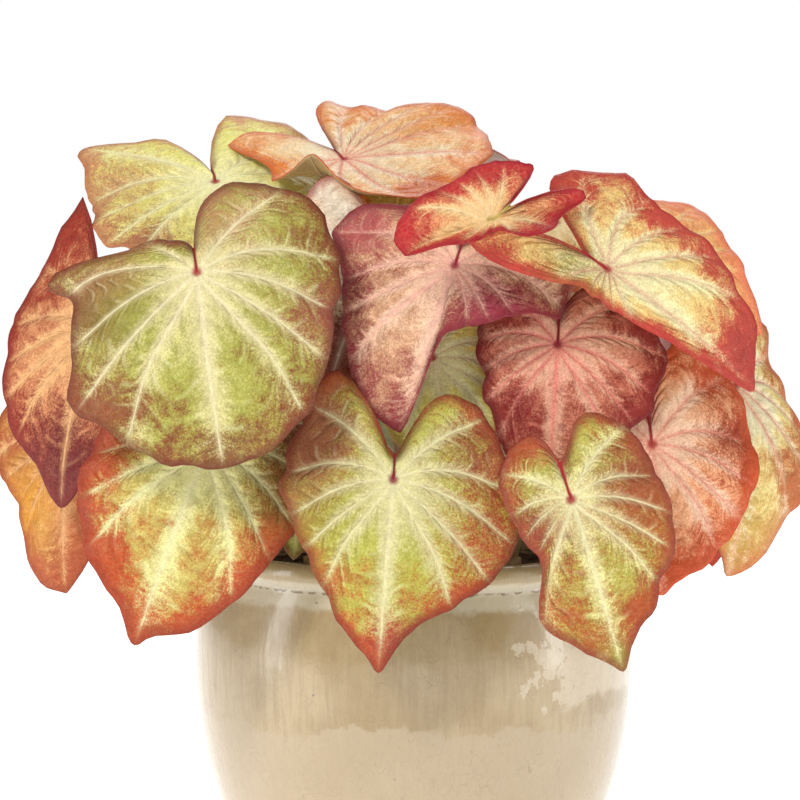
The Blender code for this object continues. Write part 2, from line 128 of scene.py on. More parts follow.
# Main veins on either side of the midrib: degrees from it at the joint, at two reaches and at the margin
VEIN_REACHES = (0.0, 0.2, 0.5, 1.0)
MAIN_VEINS = (
    (0, 0, 0, 0),
    (18, 29, 33, 29),
    (47, 51, 51, 48),
    (86, 82, 76, 67),
    (116, 112, 104, 91),
    (140, 140, 137, 130),
    (180, 180, 180, 180),
)
LAST_VEIN = len(MAIN_VEINS) - 1
PLACE_STEP = 0.01
VEIN_STEPS = (0.0, 0.04, 0.09, 0.17, 0.28, 0.39, 0.5, 0.61, 0.72, 0.83, 0.91, 0.96)
CLEFT_STEPS = (0.0, 0.04, 0.09, 0.16, 0.24, 0.32, 0.4, 0.48, 0.56, 0.63, 0.7, 0.76, 0.82, 0.88, 0.94, 1.0)

# Swelling between the main veins, each vein's ridge, and the most that a patch of colour covers
PUFF = 0.02
SWELL_POWER = 1.4
RIDGE = 0.006
RIDGE_WIDTH = 1.8 * MM
PATCH_LIMIT = 1.2


@dataclass
class Leaf:
    """One leaf, with its joint and tip in millimetres and its angles in degrees.

    Left and right are as seen with the upper face towards the eye and the tip down. They hold how far the
    margin is from the joint at the stations between tip and cleft, as shares of the flat midrib's length.
    A positive bend turns the blade back from its upper face, and a negative one turns it up. The cleft turn
    moves the cleft off the midrib's line. Each lift raises the margin round one angle, by a share of the
    midrib's length. Rise and reach are how far the stalk keeps its first and last course, in millimetres.
    """

    name: str
    tuber: str
    kind: str
    joint: tuple
    tip: tuple
    face: tuple
    left: tuple = HEART
    right: tuple = HEART
    cleft: float = CLEFT
    droop: float = 22
    hook: float = 8
    lobe_droop: float = 5
    fold_left: float = 0
    fold_right: float = 0
    side_left: float = 20
    side_right: float = 20
    cleft_turn: float = 0
    lifts: tuple = ()
    wave: float = 0.02
    phase: float = 0.0
    rise: float = 90
    reach: float = 60
    steepness: float = 1.2


LEAVES = [
    # Low ones at the front, which hang over the lip
    Leaf("front_centre", "left", "lime", (-12, -153, 283), (-20, -169, 180), (0, -1, 0.2), phase=0.6),
    Leaf("front_right", "right", "lime", (84, -162, 273), (111, -182, 183), (0, -1, 0.2), phase=2.1),
    Leaf("front_left", "left", "amber", (-114, -128, 299), (-153, -150, 192), (0, -1, 0.2),
         phase=4.0, lobe_droop=110),
    Leaf("front_low", "left", "lime", (-64, -85, 268), (-68, -105, 233), (0, -1, 0.5), phase=1.0),
    # Upper ones at the front
    Leaf("broad_left", "left", "lime", (-118, -150, 395), (-103, -172, 291), (0, -1, 0.2), phase=5.0),
    Leaf("rose_centre", "right", "rose", (22, -114, 398), (-8, -137, 307), (0, -1, 0.3),
         phase=3.0, side_right=30, rise=160, steepness=-0.5),
    Leaf("rose_right", "right", "rose", (80, -94, 353), (74, -108, 269), (0, -1, 0.3)),
    Leaf("small_crimson", "right", "crimson", (41, -140, 423), (-6, -150, 404), (0, -0.7, 0.7),
         left=(1.00, 0.85, 0.58, 0.58, 0.62, 0.70, 0.72), right=(0.68, 0.52, 0.27, 0.35, 0.62, 0.80, 1.10),
         phase=2.0, cleft=0.16, cleft_turn=25, fold_left=-50, fold_right=-20,
         rise=170, reach=75, steepness=-1.2),
    Leaf("gold_right", "right", "amber", (105, -128, 396), (188, -111, 328), (0.25, -1, 0.5),
         phase=1.5, side_left=50, fold_right=5, rise=130, steepness=-0.5),
    # The right side
    Leaf("coral_right", "right", "coral", (133, -95, 297), (138, -112, 214), (0.2, -1, 0.2), phase=2.6),
    Leaf("far_right", "right", "amber", (189, -15, 325), (182, -40, 215), (0.5, -1, 0.1),
         phase=3.6, droop=40, side_right=60),
    Leaf("amber_right", "right", "amber", (143, 0, 397), (206, -5, 354), (0.4, -1, 0.6),
         right=(0.82, 0.70, 0.65, 0.74, 0.66, 0.60, 0.40),
         phase=4.4),
    Leaf("low_right", "right", "coral", (175, 20, 253), (179, 10, 214), (0.5, -1, 0.3), phase=5.2),
    # The left side
    Leaf("hanging_left", "left", "coral", (-185, -50, 360), (-201, -75, 259), (-0.5, -1, 0.1),
         phase=0.3, rise=130),
    Leaf("low_left", "left", "amber", (-200, -25, 293), (-201, -55, 207), (-0.5, -1, 0.1),
         left=(0.90, 0.68, 0.54, 0.66, 0.72, 0.70, 0.40), right=(0.80, 0.70, 0.68, 0.62, 0.56, 0.46, 0.32),
         phase=1.3),
    # The top
    Leaf("orange_top", "back", "coral", (-41, -5, 457), (46, -18, 460), (0, -0.5, 0.87),
         left=(0.92, 0.90, 0.80, 0.42, 0.50, 0.64, 1.12), right=(0.97, 0.98, 0.88, 0.74, 0.84, 0.90, 0.75),
         phase=3.3, cleft=0.2, cleft_turn=-62, droop=5, side_left=5, side_right=5,
         lifts=((-90, 0.22), (-70, 0.16))),
    Leaf("lime_top", "left", "lime", (-118, 12, 444), (-122, -76, 357), (-0.05, -0.75, 0.65),
         phase=4.3, cleft_turn=15),
    Leaf("pink_inner", "back", "pink", (-25, -82, 401), (-48, -105, 330), (0, -1, 0.1),
         left=(0.86, 0.76, 0.68, 0.62, 0.69, 0.63, 0.28), right=(0.90, 0.76, 0.56, 0.42, 0.36, 0.35, 0.25),
         phase=5.3),
    Leaf("green_inner", "right", "lime", (10, -84, 345), (26, -104, 272), (0, -1, 0.3),
         left=(0.84, 0.72, 0.56, 0.44, 0.42, 0.42, 0.30), right=(0.80, 0.70, 0.66, 0.58, 0.52, 0.45, 0.32),
         phase=0.9),
    Leaf("pale_inner", "back", "lime", (82, -36, 420), (84, -60, 390), (0, -1, 0.6), phase=1.9),
    Leaf("orange_inner", "back", "crimson", (-11, -35, 425), (-38, -10, 445), (-0.1, -0.6, 0.8), phase=2.9),
    # The back
    Leaf("back_centre", "back", "rose", (5, 154, 378), (0, 181, 285), (0, 1, 0.3), phase=0.2),
    Leaf("back_left", "back", "lime", (-90, 116, 395), (-119, 152, 306), (-0.4, 1, 0.3), phase=1.1),
    Leaf("back_right", "back", "coral", (102, 114, 392), (134, 146, 304), (0.4, 1, 0.3), phase=2.4),
    Leaf("back_low", "back", "lime", (-10, 157, 266), (-14, 178, 186), (0, 1, 0.2), phase=3.1),
    Leaf("back_low_left", "left", "amber", (-105, 128, 288), (-128, 160, 208), (-0.6, 1, 0.2), phase=4.1),
    Leaf("back_low_right", "back", "coral", (97, 122, 285), (118, 152, 200), (0.5, 1, 0.2), phase=5.5),
    Leaf("back_top", "back", "pink", (6, 60, 462), (0, 145, 436), (0, 0.4, 0.9), phase=0.7),
    Leaf("left_back", "left", "amber", (-178, 50, 357), (-212, 76, 269), (-1, 0.4, 0.2), phase=1.9),
    Leaf("right_back", "right", "rose", (168, 72, 350), (198, 105, 262), (1, 0.7, 0.2), phase=3.9),
    Leaf("left_low_back", "left", "coral", (-168, 48, 270), (-196, 64, 208), (-1, 0.3, 0.2), phase=5.9),
]

# Margins that the photograph shows closely: degrees from the midrib, left ones below zero, and how far the
# margin is from the joint there, as a share of the flat midrib
OUTLINES = {
    "front_centre": (
        (-180, 0.14), (-165, 0.18), (-160, 0.36), (-149, 0.67), (-138, 0.66), (-126, 0.60), (-115, 0.57),
        (-104, 0.58), (-92, 0.56), (-83, 0.59), (-75, 0.58), (-65, 0.56), (-56, 0.57), (-44, 0.60),
        (-31, 0.66), (-24, 0.70), (-17, 0.80), (-9, 0.87), (-4, 0.92), (0, 1.0), (4, 0.90), (9, 0.81),
        (16, 0.76), (26, 0.73), (37, 0.73), (47, 0.74), (57, 0.72), (64, 0.74), (71, 0.72), (86, 0.64),
        (97, 0.60), (108, 0.58), (120, 0.60), (133, 0.60), (150, 0.57), (160, 0.46), (166, 0.28),
        (173, 0.16), (180, 0.14),
    ),
    "front_right": (
        (-180, 0.22), (-173, 0.37), (-165, 0.45), (-154, 0.47), (-142, 0.45), (-127, 0.43), (-113, 0.39),
        (-102, 0.37), (-91, 0.35), (-80, 0.345), (-70, 0.35), (-58, 0.355), (-48, 0.37), (-40, 0.41),
        (-36, 0.50), (-33, 0.66), (-28, 0.74), (-19, 0.80), (-9, 0.87), (-3, 0.95), (0, 1.0), (5, 0.89),
        (11, 0.81), (21, 0.75), (29, 0.68), (36, 0.66), (43, 0.65), (59, 0.59), (71, 0.55), (85, 0.51),
        (95, 0.50), (104, 0.51), (118, 0.53), (131, 0.54), (142, 0.55), (152, 0.53), (160, 0.47),
        (166, 0.33), (173, 0.25), (180, 0.22),
    ),
    "front_left": (
        (-180, 0.14), (-165, 0.40), (-150, 0.60), (-120, 0.58), (-90, 0.53), (-76, 0.52), (-66, 0.55),
        (-57, 0.62), (-48, 0.65), (-40, 0.68), (-28, 0.76), (-22, 0.78), (-14, 0.81), (-7, 0.88),
        (0, 1.0), (4, 0.93), (11, 0.90), (21, 0.83), (30, 0.75), (35, 0.70), (47, 0.63), (59, 0.59),
        (65, 0.57), (90, 0.59), (120, 0.60), (150, 0.60), (165, 0.40), (180, 0.14),
    ),
    "broad_left": (
        (-180, 0.14), (-168, 0.18), (-150, 0.22), (-136, 0.27), (-125, 0.33), (-118, 0.39), (-110, 0.52),
        (-105, 0.65), (-99, 0.77), (-95, 0.76), (-90, 0.67), (-84, 0.64), (-76, 0.66), (-70, 0.71),
        (-62, 0.76), (-57, 0.83), (-53, 0.90), (-48, 0.91), (-42, 0.91), (-35, 0.91), (-28, 0.94),
        (-21, 0.95), (-15, 0.98), (-8, 0.985), (-4, 1.0), (0, 1.0), (5, 0.99), (11, 0.98), (18, 0.965),
        (24, 0.93), (30, 0.90), (36, 0.85), (45, 0.81), (55, 0.76), (65, 0.70), (70, 0.71), (75, 0.73),
        (80, 0.715), (86, 0.71), (95, 0.72), (103, 0.71), (111, 0.71), (118, 0.69), (130, 0.62),
        (137, 0.59), (144, 0.56), (154, 0.53), (162, 0.46), (170, 0.38), (175, 0.29), (178, 0.19),
        (180, 0.14),
    ),
    "rose_centre": (
        (-180, 0.14), (-165, 0.36), (-150, 0.44), (-137, 0.45), (-125, 0.47), (-116, 0.55), (-109, 0.64),
        (-100, 0.68), (-90, 0.71), (-80, 0.66), (-70, 0.63), (-55, 0.66), (-39, 0.73), (-28, 0.82),
        (-16, 0.93), (-8, 0.97), (0, 1.0), (1.5, 0.90), (3, 0.70), (5, 0.52), (8, 0.43), (14, 0.39),
        (28, 0.36), (40, 0.37), (55, 0.40), (68, 0.44), (78, 0.53), (82, 0.65), (89, 0.67), (96, 0.66),
        (112, 0.64), (135, 0.50), (150, 0.41), (165, 0.30), (180, 0.14),
    ),
    "rose_right": (
        (-180, 0.20), (-165, 0.40), (-150, 0.55), (-120, 0.56), (-101, 0.54), (-88, 0.52), (-75, 0.53),
        (-63, 0.51), (-56, 0.56), (-49, 0.60), (-39, 0.63), (-27, 0.74), (-15, 0.86), (0, 1.0),
        (15, 0.88), (30, 0.80), (46, 0.73), (59, 0.75), (68, 0.72), (75, 0.71), (84, 0.73), (93, 0.73),
        (99, 0.68), (120, 0.60), (150, 0.48), (160, 0.44), (168, 0.34), (176, 0.24), (180, 0.20),
    ),
    "gold_right": (
        (-180, 0.14), (-175, 0.28), (-171, 0.44), (-166, 0.62), (-158, 0.74), (-152, 0.64), (-146, 0.50),
        (-135, 0.32), (-115, 0.18), (-90, 0.17), (-63, 0.19), (-45, 0.22), (-33, 0.28), (-24, 0.36),
        (-17, 0.46), (-9, 0.66), (-4, 0.85), (0, 1.0), (6, 0.96), (14, 0.93), (21, 0.90), (26, 0.84),
        (31, 0.78), (41, 0.75), (53, 0.70), (66, 0.60), (75, 0.55), (83, 0.51), (89, 0.52), (95, 0.54),
        (107, 0.63), (119, 0.60), (131, 0.59), (143, 0.59), (153, 0.53), (158, 0.42), (165, 0.25),
        (172, 0.18), (180, 0.14),
    ),
    "coral_right": (
        (-180, 0.20), (-174, 0.46), (-165, 0.62), (-150, 0.72), (-120, 0.70), (-90, 0.68), (-60, 0.70),
        (-30, 0.76), (-15, 0.85), (0, 1.0), (5, 0.93), (11, 0.89), (18, 0.87), (31, 0.83), (40, 0.80), (52, 0.76),
        (64, 0.75), (76, 0.75), (89, 0.73), (101, 0.72), (112, 0.77), (124, 0.78), (143, 0.82),
        (157, 0.78), (166, 0.64), (174, 0.42), (180, 0.20),
    ),
    "far_right": (
        (-180, 0.14), (-165, 0.30), (-150, 0.42), (-120, 0.40), (-90, 0.42), (-60, 0.52), (-30, 0.62),
        (-15, 0.78), (-4, 0.90), (0, 1.0), (5, 0.97), (12, 0.91), (18, 0.84), (25, 0.79), (32, 0.73),
        (39, 0.69), (50, 0.65), (60, 0.60), (71, 0.49), (80, 0.41), (95, 0.37), (114, 0.36), (132, 0.38),
        (148, 0.46), (160, 0.42), (172, 0.24), (180, 0.14),
    ),
    "hanging_left": (
        (-180, 0.14), (-173, 0.25), (-167, 0.42), (-162, 0.66), (-158, 0.86), (-153, 0.78), (-148, 0.75),
        (-134, 0.64), (-116, 0.59), (-100, 0.56), (-88, 0.54), (-72, 0.56), (-58, 0.59), (-48, 0.64),
        (-38, 0.69), (-31, 0.73), (-19, 0.78), (-10, 0.87), (-4, 0.96), (0, 1.0), (4, 0.96), (7, 0.91),
        (12, 0.83), (18, 0.76), (30, 0.66), (60, 0.55), (90, 0.46), (120, 0.42), (150, 0.40),
        (165, 0.35), (180, 0.14),
    ),
    "lime_top": (
        (-180, 0.14), (-170, 0.22), (-164, 0.31), (-157, 0.53), (-146, 0.65), (-138, 0.74), (-129, 0.81),
        (-123, 0.78), (-118, 0.73), (-109, 0.67), (-100, 0.64), (-90, 0.61), (-81, 0.60), (-75, 0.58),
        (-68, 0.61), (-60, 0.64), (-50, 0.65), (-41, 0.62), (-30, 0.63), (-15, 0.75), (0, 1.0),
        (15, 0.80), (30, 0.70), (60, 0.66), (90, 0.60), (120, 0.58), (150, 0.61), (160, 0.65),
        (168, 0.67), (174, 0.42), (180, 0.14),
    ),
}


@dataclass
class Finish:
    """Colours of one blade's upper face, from the joint outwards, as they look on a display.

    The flush is the warm speckle that spreads in from the margin. It starts at one share of the way out and
    is full at another. Field is how strongly the second colour fills the places between the veins. A patch is
    a place in degrees from the midrib and a share of the way out, a radius as a share of the midrib, a
    colour and a strength. The dark patch over pink_inner's tip is painted shade.
    """

    centre: tuple
    field: tuple
    flush: tuple
    rim: tuple
    vein: tuple
    spot: tuple = (165, 40, 45)
    flush_start: float = 0.62
    flush_full: float = 1.1
    field_share: float = 0.75
    vein_share: float = 0.9
    rim_width: float = 3.5
    speckle: float = 1.0
    patches: tuple = ()


FINISHES = {
    "broad_left": Finish(
        (222, 212, 145), (169, 171, 59), (138, 72, 40), (115, 50, 38), (244, 233, 189),
        flush_start=0.58, flush_full=1.06,
        patches=((-80, 0.85, 0.24, (126, 66, 44), 0.9), (-40, 0.9, 0.22, (150, 84, 48), 0.8),
                 (150, 0.6, 0.28, (190, 132, 96), 0.7), (62, 0.92, 0.24, (156, 82, 64), 0.9),
                 (-66, 0.55, 0.18, (164, 180, 62), 0.7), (0, 0.98, 0.2, (132, 88, 50), 0.7),
                 (-100, 0.55, 0.2, (184, 134, 84), 0.5)),
    ),
    "front_centre": Finish(
        (217, 210, 145), (185, 185, 60), (189, 83, 42), (120, 39, 31), (238, 230, 180), spot=(140, 34, 48),
        flush_start=0.58, flush_full=1.02, rim_width=4,
        patches=((60, 0.85, 0.3, (178, 74, 44), 0.8), (-100, 0.85, 0.27, (160, 88, 62), 0.8),
                 (-130, 0.8, 0.24, (166, 100, 70), 0.7), (115, 0.8, 0.26, (146, 74, 46), 0.8),
                 (5, 0.95, 0.16, (172, 72, 54), 0.9), (-55, 0.8, 0.22, (160, 152, 56), 0.6)),
    ),
    "front_right": Finish(
        (241, 235, 157), (181, 173, 58), (180, 83, 42), (142, 58, 52), (247, 239, 189),
        flush_start=0.5, flush_full=0.98,
        patches=((-60, 0.6, 0.25, (156, 74, 56), 0.8), (60, 0.75, 0.28, (178, 94, 44), 0.8),
                 (0, 0.94, 0.12, (150, 156, 56), 0.9), (100, 0.8, 0.25, (156, 80, 54), 0.8),
                 (-20, 0.8, 0.2, (184, 96, 48), 0.7)),
    ),
    "front_left": Finish(
        (240, 234, 158), (204, 182, 82), (193, 81, 41), (147, 54, 40), (244, 238, 184),
        flush_start=0.46, flush_full=0.94, rim_width=6,
        patches=((150, 0.8, 0.3, (112, 44, 30), 1.0), (-150, 0.8, 0.3, (120, 46, 32), 1.0),
                 (-95, 0.85, 0.24, (150, 74, 50), 0.8), (95, 0.9, 0.22, (120, 50, 30), 0.9),
                 (0, 0.95, 0.18, (196, 90, 46), 0.9), (75, 0.8, 0.26, (166, 118, 52), 0.6)),
    ),
    "front_low": Finish(
        (186, 186, 98), (128, 138, 52), (140, 86, 50), (106, 56, 40), (220, 214, 160), flush_start=0.8,
    ),
    "rose_centre": Finish(
        (255, 212, 180), (216, 162, 118), (152, 56, 62), (128, 36, 48), (250, 190, 172), spot=(160, 40, 60),
        flush_start=0.36, flush_full=0.98, patches=((60, 0.75, 0.26, (158, 54, 70), 1.0),
                                                    (-95, 0.75, 0.2, (206, 100, 98), 0.7)),
    ),
    "rose_right": Finish(
        (255, 203, 169), (219, 119, 93), (148, 47, 41), (113, 25, 30), (244, 137, 127), spot=(150, 30, 50),
        flush_start=0.34, flush_full=1.0,
    ),
    "small_crimson": Finish(
        (252, 206, 142), (236, 146, 98), (192, 46, 48), (160, 28, 46), (255, 226, 176), spot=(214, 190, 110),
        flush_start=0.28, flush_full=0.86, rim_width=2.5,
    ),
    "gold_right": Finish(
        (255, 248, 189), (250, 210, 119), (201, 76, 60), (186, 56, 53), (218, 143, 135),
        flush_start=0.5, flush_full=0.98, vein_share=0.55, rim_width=4,
        patches=((-130, 0.6, 0.2, (156, 150, 66), 0.7), (10, 0.95, 0.2, (176, 62, 54), 0.9)),
    ),
    "coral_right": Finish(
        (255, 217, 184), (247, 167, 113), (195, 76, 33), (204, 85, 47), (228, 125, 112), spot=(170, 50, 50),
        flush_start=0.42, flush_full=0.96, vein_share=0.65, rim_width=5,
        patches=((90, 0.75, 0.25, (156, 66, 42), 0.8),),
    ),
    "far_right": Finish(
        (255, 249, 207), (253, 227, 134), (194, 107, 60), (198, 108, 70), (239, 169, 142),
        flush_start=0.45, flush_full=1.0, patches=((0, 0.7, 0.3, (216, 184, 88), 0.7),),
    ),
    "amber_right": Finish(
        (254, 210, 124), (254, 196, 123), (245, 147, 102), (225, 112, 82), (254, 222, 160),
        flush_start=0.45, flush_full=1.0,
    ),
    "low_right": Finish(
        (216, 100, 60), (206, 84, 50), (186, 58, 40), (166, 50, 40), (226, 130, 84), flush_start=0.4,
    ),
    "hanging_left": Finish(
        (238, 182, 124), (206, 128, 86), (150, 45, 31), (126, 38, 36), (238, 182, 128), spot=(170, 40, 40),
        flush_start=0.34, flush_full=0.95, patches=((0, 0.85, 0.4, (112, 32, 34), 1.2),),
    ),
    "low_left": Finish(
        (240, 190, 130), (211, 154, 71), (177, 86, 53), (158, 74, 47), (232, 176, 124),
        flush_start=0.4, flush_full=0.95, patches=((-40, 0.85, 0.3, (226, 160, 52), 0.8),
                                                   (20, 0.45, 0.25, (214, 132, 92), 0.8),
                                                   (8, 0.75, 0.16, (172, 78, 46), 0.8)),
    ),
    "orange_top": Finish(
        (255, 237, 197), (255, 204, 136), (233, 129, 53), (198, 93, 56), (240, 154, 132),
        flush_start=0.45, flush_full=1.05, patches=((40, 0.6, 0.35, (238, 158, 78), 0.7),
                                                    (-40, 0.85, 0.25, (196, 100, 74), 0.7)),
    ),
    "lime_top": Finish(
        (255, 248, 172), (243, 238, 123), (213, 145, 99), (180, 105, 73), (255, 250, 194),
        flush_start=0.66, flush_full=1.15, patches=((-100, 0.8, 0.3, (196, 130, 92), 0.8),
                                                  (-30, 0.9, 0.22, (176, 106, 72), 0.9)),
    ),
    "pink_inner": Finish(
        (255, 240, 216), (255, 224, 190), (206, 110, 92), (160, 60, 60), (255, 240, 220),
        flush_start=0.74, flush_full=1.15, field_share=0.5, vein_share=0.4,
        # Painted shade: the dark brown patch over the tip stands in for the shade that falls on it between
        # broad_left and rose_centre
        patches=((0, 0.95, 0.5, (122, 46, 28), 1.8),),
    ),
    # Painted light: this blade's colours are lifted close to white to make up for the shade that rose_centre
    # casts on it
    "green_inner": Finish(
        (255, 255, 184), (255, 240, 110), (183, 162, 78), (178, 123, 70), (255, 236, 196),
        flush_start=0.8, vein_share=0.6,
    ),
    "pale_inner": Finish(
        (240, 206, 144), (226, 180, 108), (208, 142, 90), (190, 118, 84), (244, 228, 180), flush_start=0.6,
    ),
    "orange_inner": Finish(
        (212, 180, 84), (212, 88, 44), (186, 54, 36), (164, 44, 40), (226, 186, 100), flush_start=0.4,
    ),
}

# Blades that the photograph doesn't show, by kind
KIND_FINISHES = {
    "lime": Finish((232, 222, 148), (186, 176, 72), (190, 104, 60), (168, 78, 62), (242, 234, 180),
                   flush_start=0.55, flush_full=1.05),
    "amber": Finish((242, 208, 112), (232, 172, 76), (210, 104, 54), (182, 72, 52), (246, 212, 140),
                    flush_start=0.45),
    "coral": Finish((240, 160, 116), (222, 116, 76), (184, 64, 44), (164, 52, 42), (242, 172, 138),
                    flush_start=0.4),
    "rose": Finish((240, 152, 130), (204, 106, 86), (158, 54, 54), (142, 40, 44), (240, 162, 150),
                   flush_start=0.4),
    "pink": Finish((250, 216, 196), (240, 188, 164), (206, 104, 90), (172, 58, 58), (252, 230, 212),
                   flush_start=0.6),
    "crimson": Finish((226, 110, 76), (204, 64, 56), (176, 38, 44), (166, 46, 50), (232, 196, 120),
                      flush_start=0.3),
}

# Undersides, by kind: the face and its veins
UNDERSIDES = {
    "lime": ((168, 172, 124), (206, 204, 168)),
    "amber": ((186, 166, 112), (214, 196, 150)),
    "coral": ((182, 150, 104), (214, 184, 142)),
    "rose": ((178, 116, 116), (210, 158, 156)),
    "pink": ((206, 172, 158), (226, 202, 190)),
    "crimson": ((206, 168, 156), (226, 196, 184)),
}

# Colours that several shaders share, and the blades' shine
WHITE = (1.0, 1.0, 1.0, 1.0)
UNDERSIDE_SHADE = (0.25, 0.2, 0.12, 1.0)
LEAF_SHINE = 0.22

# Cells of the finest veins and of the crackle, with the size and the strength of the noise that bends them,
# then the depth of the net and the height of side veins in millimetres
NET_CELL = 3.6 * MM
NET_WARP = (4 * MM, 2 * MM)
CRACKLE_CELL = 6 * MM
CRACKLE_WARP = (10 * MM, 6 * MM)
NET_DEPTH = 0.09
SIDE_VEIN_HEIGHT = 0.12

# Glaze: heights in millimetres where each band starts and is full, and the places of its patches and dots
GLAZE_STEP = (136.0, 139.0)
PATCH_BAND = (146.0, 152.0)
PATCH_SIDE = (74.0, 77.0)
# Painted highlight: the pale band on the shoulder under the lip stands in for the light that the shoulder catches
SHOULDER_HIGHLIGHT_BAND = (203.0, 208.0)
DASH_HEIGHT = 214.5
# Painted shade: the darker tan on the lip stands in for the shade that the leaves cast on it
LIP_SHADE_BAND = (219.0, 221.0)
DOT_SPACING = 11 * MM
GLAZE_COAT = 0.5
GLAZE_COAT_ROUGHNESS = 0.08

# Studio: each lamp's name, place, aim, width, height, power and colour
MIDDLE = (0.0, 0.0, 0.3)
LOW_MIDDLE = (0.0, 0.0, 0.2)
WARM_WHITE = (1.0, 0.97, 0.93)
PLAIN_WHITE = (1.0, 1.0, 1.0)
LAMPS = (
    ("key", (-1.1, -1.7, 1.9), MIDDLE, 0.6, 0.6, 30.5, WARM_WHITE),
    ("fill", (1.7, -1.3, 0.9), MIDDLE, 1.2, 1.4, 4.5, WARM_WHITE),
    ("back", (0.3, 1.6, 1.8), MIDDLE, 1.2, 1.2, 18.0, PLAIN_WHITE),
    ("strip_left", (-1.2, -0.35, 0.3), LOW_MIDDLE, 0.25, 1.2, 4.0, PLAIN_WHITE),
    ("strip_right", (1.2, -0.35, 0.3), LOW_MIDDLE, 0.25, 1.2, 4.0, PLAIN_WHITE),
)
WORLD_LIGHT = 0.36
FLOOR_SIZE = 6.0
FLOOR_GLOW = 0.74


def smooth_step(value, start, end):
    share = np.clip((value - start) / (end - start), 0.0, 1.0)
    return share * share * (3.0 - 2.0 * share)


def curve_with_slopes(value, places, levels, slopes):
    """Smooth curve through levels at rising places, with a given slope at each."""
    index = np.clip(np.searchsorted(places, value, side="right") - 1, 0, len(places) - 2)
    span = places[index + 1] - places[index]
    share = (value - places[index]) / span
    start = (2 * share**3 - 3 * share**2 + 1) * levels[index]
    end = (3 * share**2 - 2 * share**3) * levels[index + 1]
    leaving = (share**3 - 2 * share**2 + share) * slopes[index] * span
    arriving = (share**3 - share**2) * slopes[index + 1] * span
    return start + end + leaving + arriving


def smooth_through(value, places, levels):
    """Smooth curve through levels at rising places, level at its last place."""
    places = np.asarray(places, float)
    levels = np.asarray(levels, float)
    slopes = np.gradient(levels, places)
    slopes[-1] = 0.0
    return curve_with_slopes(value, places, levels, slopes)


def through_points(value, places, levels):
    """Smooth curve through levels at rising places, which never swings past a level."""
    steps = np.diff(levels) / np.diff(places)
    before = steps[:-1]
    after = steps[1:]
    together = before * after > 0
    slopes = np.zeros(len(levels))
    slopes[1:-1][together] = 2.0 * (before * after)[together] / (before + after)[together]
    return curve_with_slopes(value, places, levels, slopes)


def margin_distance(leaf, angle):
    """How far the margin lies from the joint, by the angle in degrees from the midrib."""
    turn = np.abs(angle)
    if leaf.name in OUTLINES:
        places, levels = np.array(OUTLINES[leaf.name]).T
        distance = through_points(angle, places, levels)
    else:
        left = smooth_through(turn, STATIONS, (1.0, *leaf.left, leaf.cleft))
        right = smooth_through(turn, STATIONS, (1.0, *leaf.right, leaf.cleft))
        distance = np.where(angle < 0, left, right)
    around = np.radians(angle)
    waves = sum(size * np.sin(count * around + phase + leaf.phase) for count, size, phase in MARGIN_WAVES)
    return distance * (1.0 + waves * smooth_step(180.0 - turn, *CLEFT_CALM) * smooth_step(turn, *TIP_CALM))


def flat_points(leaf, angle, reach):
    """The blade laid flat, in shares of the midrib: across to the right, and along to the tip."""
    distance = margin_distance(leaf, angle) * reach
    direction = np.radians(angle + leaf.cleft_turn * (angle / 180.0) ** 2)
    return np.stack([distance * np.sin(direction), distance * np.cos(direction)], axis=-1)


def wrap(distance, height, turn, hook=0.0, fold=0.0):
    """Lays a flat stretch along an arc: fold degrees at its start, turn for each unit, hook near its end."""
    hooked = smooth_step(BEND_SAMPLES, HOOK_START, HOOK_START + HOOK_SPAN)
    slopes = np.radians(fold + turn * BEND_SAMPLES + hook * hooked)
    middles = (slopes[1:] + slopes[:-1]) / 2
    step = BEND_SAMPLES[1]
    runs = np.concatenate([[0.0], np.cumsum(np.cos(middles) * step)])
    drops = np.concatenate([[0.0], np.cumsum(np.sin(middles) * step)])
    slope = np.interp(distance, BEND_SAMPLES, slopes)
    run = np.interp(distance, BEND_SAMPLES, runs)
    drop = np.interp(distance, BEND_SAMPLES, drops)
    return run + height * np.sin(slope), height * np.cos(slope) - drop


def blade_points(leaf, angle, reach, relief=0.0):
    """Where the blade's middle layer lies, in its own frame: +X right, -Y to the tip, +Z off the upper face.

    angle is in degrees from the midrib, and reach runs from 0 at the joint to 1 at the margin. The relief is
    a height off the upper face, in shares of the midrib.
    """
    across, along = flat_points(leaf, angle, reach).T
    around = np.radians(angle)
    ripple = sum(size * np.sin(count * around + turn * leaf.phase) for count, size, turn in RIPPLES)
    height = leaf.wave * reach**RIPPLE_POWER * ripple + relief
    for place, lift in leaf.lifts:
        off = (angle - place + 180.0) % 360.0 - 180.0
        height = height + lift * reach**LIFT_POWER * np.exp(-((off / LIFT_SPREAD) ** 2))
    on_left = across < 0
    left = wrap(-across, height, leaf.side_left, fold=leaf.fold_left)
    right = wrap(across, height, leaf.side_right, fold=leaf.fold_right)
    across = np.where(on_left, -left[0], right[0])
    height = np.where(on_left, left[1], right[1])
    on_lobes = along < 0
    lobe_run, lobe_height = wrap(-along, height, leaf.lobe_droop)
    tip_run, tip_height = wrap(along, height, leaf.droop, leaf.hook)
    along = np.where(on_lobes, -lobe_run, tip_run)
    height = np.where(on_lobes, lobe_height, tip_height)
    return np.stack([across, -along, height], axis=-1)


def axes_of(lobeward, upward):
    """Rotation whose Y axis is lobeward and whose Z axis is as near to upward as it can be."""
    y_axis = lobeward.normalized()
    z_axis = (upward - y_axis * upward.dot(y_axis)).normalized()
    x_axis = y_axis.cross(z_axis)
    return Matrix((x_axis, y_axis, z_axis)).transposed()


